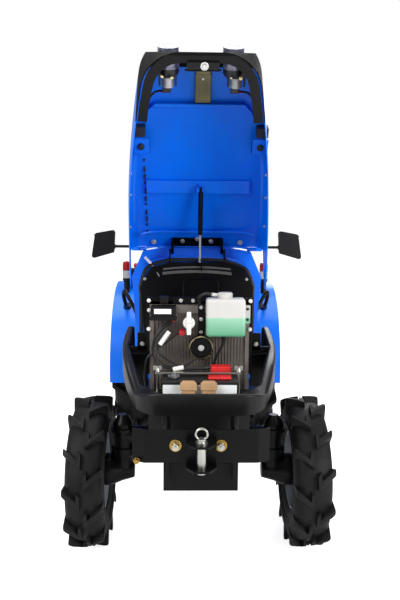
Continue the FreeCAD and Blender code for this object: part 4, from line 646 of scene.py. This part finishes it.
# Main loom, second loom, side, drain and bottle hoses, battery lead and plug lead, with their radii.
RUNS = (([(-90, -120, 915), (-125, -128, 890), (-160, -132, 850), (-172, -126, 800), (-160, -128, 762),
          (-128, -150, 742), (-90, -190, 742)], 0.0055),
        ([(-96, -122, 912), (-118, -134, 880), (-150, -138, 838), (-150, -130, 790), (-100, -140, 752),
          (-60, -160, 745), (-18, -172, 772)], 0.004),
        ([(-172, -110, 780), (-196, -110, 760), (-205, -100, 700), (-202, -94, 655), (-198, -84, 618),
          (-190, -62, 600)], 0.005),
        ([(89, -150, 846), (84, -140, 820), (70, -130, 790), (57, -124, 756), (50, -118, 720)], 0.005),
        ([(47, -140, 1006), (20, -134, 1008), (0, -126, 996), (-4, -116, 978), (0, -112, 966)], 0.0058),
        ([(-105, -210, 744), (-40, -215, 748), (10, -215, 750), (40, -208, 752)], 0.0062),
        ([(-70, -112, 864), (-96, -118, 846), (-126, -126, 822), (-158, -130, 806)], 0.0035))
bm = bmesh.new()
for points, radius in RUNS:
    wire(bm, [spot(*p) for p in points], radius)
finished("bay_loom_and_hoses", bm, black_rubber, "black_plastic")

bm = bmesh.new()
for start, end in (((-112, -136, 868), (-146, -142, 820)), ((-96, -214, 744), (-58, -214, 752))):
    rod(bm, spot(*start), spot(*end), 0.0085)
finished("loom_plugs", bm, nylon, "black_plastic", eased=0.0015)

# -------- coolant bottle
# A blow-moulded polyethylene bottle, milky and thin, holds green coolant up to half its height. It
# hangs on a side tab with two holes, under a screw cap with a hose nozzle.

# Milky polyethylene: waxy, with light in its wall, and green below the liquid's line;
# the green darkens towards the bottom as painted shade.
LIQUID_LOW, LIQUID_LINE, LINE_SOFT, SWELL = 0.855, 0.921, 0.006, 0.004
milky = surface("milky_polyethylene", "#cbc7c5", "#bfbfbc", 0.38, 3.0, 0.03, Subsurface_Weight=0.25,
                Subsurface_Radius=(0.01, 0.01, 0.01))
tree = milky.node_tree
shader = tree.nodes["Principled BSDF"]
where = add(tree, "TexCoord").outputs["Object"]
ripple = add(tree, "TexNoise", Vector=where, Scale=12.0, Detail=2.0)
shaken = add(tree, "MapRange", Value=ripple.outputs["Fac"], To_Min=-SWELL, To_Max=SWELL)
height = add(tree, "Math", operation="ADD")
tree.links.new(add(tree, "SeparateXYZ", Vector=where).outputs["Z"], height.inputs[0])
tree.links.new(shaken.outputs[0], height.inputs[1])
filled = add(tree, "MapRange", Value=height.outputs[0], From_Min=LIQUID_LINE,
             From_Max=LIQUID_LINE + LINE_SOFT, To_Min=1.0, To_Max=0.0)
# Painted shade: the coolant's green darkens from just under its line down to the bottom of the liquid.
coolant_painted_shade = add(tree, "MapRange", Value=height.outputs[0], From_Min=LIQUID_LOW, From_Max=0.926)
coolant = add(tree, "ValToRGB", Fac=coolant_painted_shade.outputs[0])
coolant.color_ramp.elements[0].color = linear("#4f9673")
coolant.color_ramp.elements[1].color = linear("#93c4aa")
shown = add(tree, "Mix", data_type="RGBA")
plain = shader.inputs["Base Color"].links[0].from_socket
for socket, given in ((shown.inputs["Factor"], filled.outputs[0]), (shown.inputs[6], plain),
                      (shown.inputs[7], coolant.outputs["Color"])):
    tree.links.new(given, socket)
tree.links.new(shown.outputs[2], shader.inputs["Base Color"])

blocks("coolant_bottle_shell", [((22.5, -174.5, 853.5), (164.5, -100.5, 992.5))], milky, "bottle_plastic",
       replaces=("coolant_bottle",), eased=0.011, steps=5)

NECK, GRIPS = (92, -138), 18
bm = bmesh.new()
turned(bm, [(-0.006, 0.024), (0.002, 0.0255), (0.018, 0.0255), (0.02, 0.024), (0.02, 0.0)],
       spot(*NECK, 993), (0, 0, 1), 48)
rod(bm, spot(66, -138, 1003), spot(42, -139, 1006), 0.0065)
for across, back in around(GRIPS):
    out = Vector((across, back, 0)) * 0.0254
    rod(bm, spot(*NECK, 995) + out, spot(*NECK, 1011) + out, 0.0014, sides=8)
slab(bm, spot(163, -142, 900), spot(184, -136, 966))
finished("coolant_bottle_cap", bm, milky, "bottle_plastic", eased=0.0015)
bm = bmesh.new()
for z in (914, 953):
    rod(bm, spot(174, -143.5, z), spot(174, -135, z), 0.0055)
rod(bm, spot(89, -140, 856), spot(89, -140, 838), 0.008)
finished("coolant_bottle_fixings", bm, black_rubber, "black_plastic", eased=0.0008)

# -------- engine
# A three-cylinder diesel: cast block and head, pressed pan, covers and fan, and turned pulleys, all under
# black paint. One rubber belt drives the fan and the alternator from the crankshaft.

softened("engine", 0.0012)

# Each pulley's place and radius; the belt's line is the tightest loop round them.
PULLEYS = ((0, 600, 66), (0, 755, 42), (150, 686, 30))
BELT_PLANE, BELT_RISE, BELT_STRIDE = 32, 2, 0.008
corners = []
for across, rise in around(72):
    x, z, radius = max(PULLEYS, key=lambda pulley: pulley[0] * across + pulley[1] * rise + pulley[2])
    corners.append(spot(x + (radius + BELT_RISE) * across, BELT_PLANE, z + (radius + BELT_RISE) * rise))
belt = []
for one, two in zip(corners, corners[1:] + corners[:1]):
    strides = max(1, round((two - one).length / BELT_STRIDE))
    belt += [one.lerp(two, k / strides) for k in range(strides)]
bm = bmesh.new()
wire(bm, belt, 0.0055, sides=8, closed=True)
finished("fan_belt", bm, black_rubber, "black_plastic")

# -------- firewall and dash
# The firewall is a black pressed sheet with a stiffening swage; a moulded baffle tops it, and two grey
# bands on the baffle are a painted highlight along its rounded top edges. The blue dash shell stands
# behind, with a rubber seal on its rim.

softened("firewall", 0.001)
softened("dash", 0.002)
softened("steering_column", 0.0015)

# Grey metal paint in two bands: a painted highlight along the baffle's rounded top edges.
painted_highlight_band = surface("grey_painted_highlight_band", "#8f8c88", "#6d6a67", 0.36, 1.2, 0.02, Metallic=1.0)


def bowed(bm, half, behind, z, rise, tall, coolant_painted_shade, steps=16):
    """A strip that bows upward in the middle, in front of a panel."""
    rings = []
    for k in range(steps + 1):
        x = half * (2 * k / steps - 1)
        top = z + rise * (1 - (x / half) ** 2)
        section = ((behind, top - tall), (behind, top), (behind + coolant_painted_shade, top), (behind + coolant_painted_shade, top - tall))
        rings.append([spot(x, b, h) for b, h in section])
    skinned(bm, rings)


# The two bowed grey bands are a painted highlight along the baffle's rounded top edges.
bm = bmesh.new()
bowed(bm, 162, 584, 1052, 10, 10, 5)
bowed(bm, 165, 582, 1034, 10, 15, 7)
finished("baffle_strips", bm, painted_highlight_band, "black_plastic", eased=0.0015)

bm = bmesh.new()
swage = [(-67, 905), (-67, 985), (-58, 1000), (-48, 1002), (84, 1002), (94, 1000), (101, 985), (101, 905)]
for one, two in zip(swage, swage[1:]):
    rod(bm, spot(one[0], 587, one[1]), spot(two[0], 587, two[1]), 0.0045, sides=10)
slab(bm, spot(-180, 584, 860), spot(180, 588, 902))
finished("firewall_swage", bm, black_enamel, "black_paint", eased=0.001)

bm = bmesh.new()
for x, z in ((-250, 1000), (-225, 905), (238, 1000), (150, 905), (-150, 905), (0, 880)):
    bolt(bm, spot(x, 587, z), FORWARD, 0.01)
finished("firewall_screws", bm, screw_steel, "zinc_steel", eased=0.0006)

bm = bmesh.new()
rim_line = [(-262, 600, 905), (-272, 598, 960), (-252, 598, 1034), (-220, 598, 1066), (-140, 598, 1088),
            (-60, 598, 1092), (60, 598, 1092), (145, 598, 1084), (225, 598, 1054), (250, 598, 1024),
            (270, 598, 960), (260, 600, 905)]
wire(bm, [spot(*p) for p in rim_line], 0.0085)
finished("dash_rim_seal", bm, black_rubber, "black_plastic")

blocks("dash_side_seals", [((side * 262, 601, 690), (side * 278, 607, 960)) for side in (-1, 1)],
       black_rubber, "black_plastic", eased=0.002)
bm = bmesh.new()
rod(bm, spot(-250, 600, 1104), spot(-212, 598, 1062), 0.0065)
finished("cable_sheath_end", bm, nylon, "black_plastic", eased=0.001)
bm = bmesh.new()
wire(bm, [spot(-212, 598, 1062), spot(-198, 594, 1042), spot(-186, 590, 1022), spot(-180, 588, 1012)],
     0.0022)
finished("cable_core", bm, screw_steel, "zinc_steel")

# -------- hood
# A deep-drawn steel shell in azure enamel with a moulded black nose. Inside it are the nose's flange,
# the lamp backs with their wires, the latch plate, a folded cross-panel, stops and a foam seal.

hinge = Vector(joints["hood_hinge_turn"]["pos_m"])
HOOD_SWING = math.radians(-63)
OPEN_UP = Matrix.Translation(hinge) @ Matrix.Rotation(HOOD_SWING, 4, "X") @ Matrix.Translation(-hinge)
ROOF_BACK, ROOF_HEIGHT, ROOF_SLOPE = 645, 1171, 0.1672


def lifted(name, bm, material, slot, **words):
    """Finishes a piece that was made on the closed hood, swung up with it."""
    bmesh.ops.transform(bm, verts=bm.verts, matrix=OPEN_UP)
    return finished(name, bm, material, slot, "hood", **words)


def roof(x, behind, under):
    """A point under the closed hood's roof, in millimetres."""
    return spot(x, behind, ROOF_HEIGHT - ROOF_SLOPE * (ROOF_BACK - behind) - under)


def strip(bm, rows):
    """A closed skin over rows of points, each row the same number long, with faces at its ends."""
    skinned(bm, list(zip(*rows)))


MOUTH_FRONT, MOUTH_LOW, MOUTH_SLOPE, CHEEK_TURN = -356, 739, 0.2, 78


def mouth(inset, lift):
    """The line of the nose's lower edge, from its right end round the front to its left end."""
    half = [(0, MOUTH_FRONT)]
    for k in range(9):
        a = math.radians(90 - CHEEK_TURN * k / 8)
        half.append((70 + 147 * math.cos(a), -206 - 150 * math.sin(a)))
    half += [(225, -190), (234, -145), (241, -95)]
    line = [(-x, y) for x, y in reversed(half[1:])] + half
    placed = []
    for k, (x, y) in enumerate(line):
        before, after = line[max(k - 1, 0)], line[min(k + 1, len(line) - 1)]
        run = Vector((after[0] - before[0], after[1] - before[1])).normalized()
        x, y = x - run.y * inset, y + run.x * inset
        placed.append(spot(x, y, MOUTH_LOW + MOUTH_SLOPE * (y - MOUTH_FRONT) + lift))
    return placed


for node, width in (("hood_shell", 0.0), ("hood_brace", 0.001), ("hood_hinge", 0.001)):
    softened(node, width)
# Coarse-grained polypropylene: no sheen, even at a glancing angle.
nose_plastic = surface("coarse_grained_nose_plastic", "#131314", "#0e0e0f", 0.7, 1.6, 0.12,
                       Specular_IOR_Level=0.06)
softened("hood_nose", 0.0, nose_plastic)

bm = bmesh.new()
strip(bm, [mouth(5, 3), mouth(5, 7), mouth(36, 9), mouth(37, 22), mouth(40, 22), mouth(40, 5)])
lifted("nose_inner_flange", bm, black_plastic, "black_plastic")

bm = bmesh.new()
slab(bm, spot(-52, -322, 742), spot(62, -290, 762))
slab(bm, spot(-60, -296, 740), spot(70, -292, 758))
lifted("nose_latch_pocket", bm, black_plastic, "black_plastic", eased=0.003)
bm = bmesh.new()
bolt(bm, spot(10, -308, 742), DOWN, 0.016, washer=1.6)
lifted("nose_latch_bolt", bm, screw_steel, "zinc_steel", eased=0.001)

# Olive passivated steel: brown-green, low gloss.
olive_zinc = surface("olive_passivated_steel", "#6f6a4c", "#4f4c38", 0.4, 2.0, 0.03, Metallic=0.8)
bm = bmesh.new()
slab(bm, roof(-17, -244, 14), roof(42, -212, 10))
slab(bm, roof(-20, -216, 11), roof(45, -100, 7))
lifted("latch_plate", bm, olive_zinc, "zinc_steel", eased=0.003)
bm = bmesh.new()
for y in (-194, -164, -132):
    rod(bm, roof(12, y, 8), roof(12, y - 1, 17), 0.005)
lifted("latch_plate_screws", bm, screw_steel, "zinc_steel", eased=0.001)

bm = bmesh.new()
strip(bm, [[roof(x, y, u) for x in (-186, -160, 160, 186)] for y, u in
           ((-96, 4), (-96, 30), (-92, 33), (-82, 33), (-82, 29), (-90, 29), (-92, 4))])
for side in (-1, 1):
    strip(bm, [[roof(side * x, y, u) for x, y in ((184, -94), (212, -66), (228, -28))] for u in (4, 34)]
          + [[roof(side * x, y, u) for x, y in ((186, -88), (207, -60), (222, -26))] for u in (34, 4)])
lifted("hood_cross_panel", bm, blue_enamel, "blue_paint", eased=0.0015)

bm = bmesh.new()
for side in (-1, 1):
    low, high = (208, 276) if side < 0 else (224, 290)
    strip(bm, [[roof(side * x, y, u) for x in (low, low + 12, high)] for y, u in
               ((46, 62), (46, 66), (114, 66), (118, 62), (118, 30), (114, 30), (114, 62))])
lifted("hood_side_brackets", bm, blue_enamel, "blue_paint", eased=0.002)
bm = bmesh.new()
for x in (-243, 257):
    turned(bm, [(-0.01, 0.0), (-0.012, 0.006), (-0.01, 0.013), (0.0, 0.015), (0.012, 0.013)],
           roof(x, 82, 66), (0, 0, 1), 32)
for x in (-248, 262):
    slab(bm, roof(x - 24, -6, 70), roof(x + 24, 36, 24))
lifted("hood_rubber_stops", bm, black_rubber, "black_plastic", eased=0.002)

bm = bmesh.new()
for k in range(11):
    y = 165 + 38 * k
    slab(bm, roof(-241, y, 8), roof(-234, y + (26 if k % 3 else 12), 2))
lifted("hood_foam_seal", bm, black_rubber, "black_plastic", eased=0.001)

bm = bmesh.new()
for side, y, z in ((-1, 215, 1040), (-1, 325, 1060), (1, 217, 1040), (1, 333, 1060), (1, 487, 1080),
                   (-1, 496, 1080)):
    half = 300 + 0.045 * (y - 259) + 0.087 * (z - 1010)
    bolt(bm, spot(side * half, y, z), (-side, 0, 0), 0.012)
for x in (-209, 209):
    bolt(bm, roof(x, 612, 12), DOWN, 0.014, washer=1.6)
for x, y in ((-71, 604), (0, 590), (67, 604)):
    bolt(bm, roof(x, y, 16), DOWN, 0.013, washer=1.5)
lifted("hood_bolts", bm, screw_steel, "zinc_steel", eased=0.0008)

bm = bmesh.new()
for y, u in ((548, 14), (638, 12)):
    line = []
    for k in range(13):
        x = -270 + 45 * k
        drop = 30 * max(0.0, (abs(x) - 180) / 90) ** 2
        line.append(roof(x, y, u + drop))
    wire(bm, line, 0.006)
lifted("hood_rear_swage", bm, blue_enamel, "blue_paint")

# Silver paint on rubber, and the black bulb housing under it.
silver_boot = surface("silver_painted_boot", "#b4b5b8", "#8e9093", 0.42, 1.4, 0.05, Metallic=0.5)
black_shell = surface("black_lamp_housing", "#101011", "#0a0a0b", 0.4, 1.6, 0.1)
LAMPS, LAMP_Z = ((-1, -124), (1, 132)), 880
bm, boots, brights = bmesh.new(), bmesh.new(), bmesh.new()
for side, x in LAMPS:
    turned(bm, [(-0.012, 0.0), (-0.012, 0.03), (0.0, 0.038), (0.02, 0.04), (0.034, 0.036), (0.034, 0.0)],
           spot(side * 120, -252, LAMP_Z), FORWARD, 40)
    slab(bm, spot(x - 34, -262, 856), spot(x + 34, -236, 906))
    for across in (-30, 30):
        rod(bm, spot(x + across, -256, 868), spot(x + across, -204, 868), 0.004)
    slab(bm, spot(x - 20, -200, 862), spot(x + 12, -181, 888))
    rod(boots, spot(x, -236, LAMP_Z), spot(x, -199, LAMP_Z), 0.0225)
    turned(boots, [(-0.003, 0.02), (-0.003, 0.025), (0.004, 0.025), (0.004, 0.02), (-0.003, 0.02)],
           spot(x, -234, LAMP_Z), (0, 1, 0), 40)
    for across, behind in ((-20, -244), (16, -240)):
        bolt(brights, spot(x + across, behind, 856), DOWN, 0.01)
lifted("lamp_housings", bm, black_shell, "black_plastic", eased=0.003)
lifted("lamp_boots", boots, silver_boot, "zinc_steel", eased=0.0015)
lifted("lamp_adjusters", brights, horn_brass, "zinc_steel", eased=0.0008)
bm, reds = bmesh.new(), bmesh.new()
for side, x in LAMPS:
    lead_run = ((0, -190, 878), (18, -184, 884), (50, -176, 892), (76, -146, 898), (96, -118, 896))
    wire(bm, [spot(x + side * out, behind, z) for out, behind, z in lead_run], 0.0042)
    red_run = ((5, -188, 866), (3 + side * 12, -184, 872), (side * 24, -181, 880))
    wire(reds, [spot(x + across, behind, z) for across, behind, z in red_run], 0.0026)
lifted("lamp_wires", bm, black_rubber, "black_plastic")
lifted("lamp_red_wires", reds, red_plastic, "black_plastic")

# -------- seat
# One foam cushion and back in a black vinyl cover, drawn tight over a steel pan. The foam swells the
# cover out as it is filled, and the seat stays inside its solid's box.

SHRUNK, CLOTH_SQUARE, FILLING_FRAMES = 0.018, 0.006, 20
bm = bmesh.new()
bm.from_mesh(frame["nodes"]["seat"].data)
bmesh.ops.remove_doubles(bm, verts=bm.verts, dist=1e-5)
low = Vector(min(v.co[k] for v in bm.verts) for k in range(3))
high = Vector(max(v.co[k] for v in bm.verts) for k in range(3))
middle = (low + high) / 2
for v in bm.verts:
    v.co = middle + Vector((v.co[k] - middle[k]) * (1 - SHRUNK / (high[k] - low[k])) for k in range(3))
cushion = finished("seat_cushion", bm, vinyl, "seat_vinyl", replaces=("seat",))
remesh = cushion.modifiers.new("even_cloth", "REMESH")
remesh.mode, remesh.voxel_size, remesh.use_smooth_shade = "VOXEL", CLOTH_SQUARE, True
bpy.context.view_layer.update()
shape = bpy.data.meshes.new_from_object(cushion.evaluated_get(bpy.context.evaluated_depsgraph_get()))
cushion.modifiers.clear()
cushion.data = shape
cloth = cushion.modifiers.new("filling", "CLOTH")
cloth.settings.use_pressure = True
cloth.settings.uniform_pressure_force = 4.0
cloth.settings.effector_weights.gravity = 0.0
cloth.settings.tension_stiffness = cloth.settings.compression_stiffness = 60
cloth.settings.bending_stiffness = 5
cloth.point_cache.frame_start, cloth.point_cache.frame_end = 1, FILLING_FRAMES
for step in range(1, FILLING_FRAMES + 1):
    bpy.context.scene.frame_set(step)
filled = bpy.data.meshes.new_from_object(cushion.evaluated_get(bpy.context.evaluated_depsgraph_get()))
cushion.modifiers.clear()
cushion.data = filled
bpy.context.scene.frame_set(1)
for v in cushion.data.vertices:
    v.co = Vector(min(max(v.co[k], low[k]), high[k]) for k in range(3))
cushion.data.shade_smooth()

# -------- fenders, mirrors, lamps, levers
# Blue pressed fenders carry bent grab handles on flanged feet and marker lamps in two colours. The
# mirrors have ribbed black backs, and two levers with red knobs stand on the console and the left fender.

for node, width in (("fender_right", 0.0008), ("fender_left", 0.0008), ("mirrors", 0.003),
                    ("lever_console", 0.006), ("steering_wheel", 0.0)):
    softened(node, width)

bm = bmesh.new()
for side in (-1, 1):
    for k in range(4):
        start = Vector((side * (0.412 + 0.024 * k), AXLE_Y + 0.7062, 1.118 + 0.001 * k))
        rod(bm, start, start + Vector((side * 0.02, 0, 0.100 - 0.004 * k)), 0.0026, sides=10)
    rod(bm, spot(side * 402, 708, 1150), spot(side * 424, 708, 1150), 0.012)
finished("mirror_back_ribs", bm, black_plastic, "black_plastic", eased=0.001)
# Silvered glass: a mirror, almost without grain.
mirror_glass = surface("silvered_mirror_glass", "#dfe3e6", "#d2d7da", 0.04, 30.0, 0.005, drift=0.01,
                       Metallic=1.0)
MIRROR = ((414, 1128), (512, 1099), (494, 1207), (408, 1224))
bm = bmesh.new()
for side in (-1, 1):
    skinned(bm, [[spot(side * x, behind, z) for x, z in MIRROR] for behind in (746.2, 744.5)])
finished("mirror_glass", bm, mirror_glass, "black_plastic", eased=0.0006)

# Moulded acrylic lenses: clear gloss over red and over white.
red_lens = surface("red_lamp_lens", "#b3120f", "#8f0c0b", 0.14, 3.0, 0.15, Transmission_Weight=0.25)
clear_lens = surface("clear_lamp_lens", "#c9c9c6", "#b2b2b0", 0.14, 3.0, 0.15, Transmission_Weight=0.3)
reds, clears, bases = bmesh.new(), bmesh.new(), bmesh.new()
for x in (-396, 396):
    for part, z, profile in (
            (reds, 997, [(0.0, 0.0), (0.0, 0.0235), (0.03, 0.0235), (0.046, 0.021), (0.052, 0.0)]),
            (clears, 951, [(0.0, 0.0), (0.0, 0.0235), (0.045, 0.0235), (0.045, 0.0)]),
            (bases, 853, [(0.0, 0.0), (0.0, 0.014), (0.03, 0.016), (0.078, 0.018), (0.085, 0.0238),
                          (0.097, 0.0238), (0.097, 0.0)]),
            (bases, 995, [(0.0, 0.0), (0.0, 0.0238), (0.003, 0.0238), (0.003, 0.0)])):
        turned(part, profile, spot(x, 1220, z), (0, 0, 1), 40)
finished("marker_lamp_red_lenses", reds, red_lens, "lamp_glass")
finished("marker_lamp_clear_lenses", clears, clear_lens, "lamp_glass", replaces=("marker_lamps",))
finished("marker_lamp_bases", bases, black_plastic, "black_plastic")

HANDLE = ((384, 1108, 800), (384, 1060, 808), (385, 1014, 828), (392, 990, 874), (384, 970, 900),
          (362, 952, 868), (330, 935, 812), (312, 925, 772), (314, 950, 748), (316, 1000, 746),
          (316, 1062, 748))
bm = bmesh.new()
for side in (-1, 1):
    wire(bm, [spot(side * x, behind, z) for x, behind, z in HANDLE], 0.0105, sides=16)
    for x, behind, z in (HANDLE[0], HANDLE[-1]):
        rod(bm, spot(side * x, behind - 6, z + 7), spot(side * x, behind + 1, z - 1), 0.02, 0.022)
finished("grab_handles", bm, black_enamel, "black_paint")

bm = bmesh.new()
rod(bm, spot(-350, 1320, 996), spot(-350, 1314, 1012), 0.0055)
rod(bm, spot(318, 1060, 750), spot(318, 1000, 976), 0.0075, 0.0055)
rod(bm, spot(318, 1057, 758), spot(318, 1047, 800), 0.02, 0.009)
finished("control_levers", bm, black_enamel, "black_paint")
bm = bmesh.new()
for at in (spot(-350, 1313, 1018), spot(318, 1000, 990)):
    bmesh.ops.create_uvsphere(bm, u_segments=28, v_segments=16, radius=0.015,
                              matrix=Matrix.Translation(at))
finished("lever_knobs", bm, red_plastic, "black_plastic")

# -------- platform and rear
# The deck plates have a raised tread pressed in, under black enamel. The power shaft is bright steel with
# six ridges that stand for its splines.

TREAD_ROWS, TREADS, TREAD_SIZE = 5, 4, (0.026, 0.006, 0.002, 1)
bm = bmesh.new()
for side in (-1, 1):
    for row in range(TREAD_ROWS):
        for k in range(TREADS):
            x, behind = side * (245 + 26 * row), 690 + 56 * k + (28 if row % 2 else 0)
            lean = 0.35 if (row + k) % 2 else -0.35
            turn = Matrix.Translation(spot(x, behind, 425.6)) @ Matrix.Rotation(lean * math.pi, 4, "Z")
            bmesh.ops.create_cube(bm, size=1.0, matrix=turn @ Matrix.Diagonal(TREAD_SIZE))
finished("platform_tread", bm, black_enamel, "black_paint", eased=0.0006)

SPLINES = 6
bm = bmesh.new()
shaft = Vector(joints["pto_spin"]["pos_m"])
for across, rise in around(SPLINES):
    ridge = shaft + Vector((across, 0, rise)) * 0.0155
    rod(bm, ridge - Vector((0, 0.012, 0)), ridge + Vector((0, 0.054, 0)), 0.0035, sides=12)
finished("power_shaft_splines", bm, zinc, "zinc_steel", frame["nodes"]["pto_shaft"]["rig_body"],
         eased=0.0006)
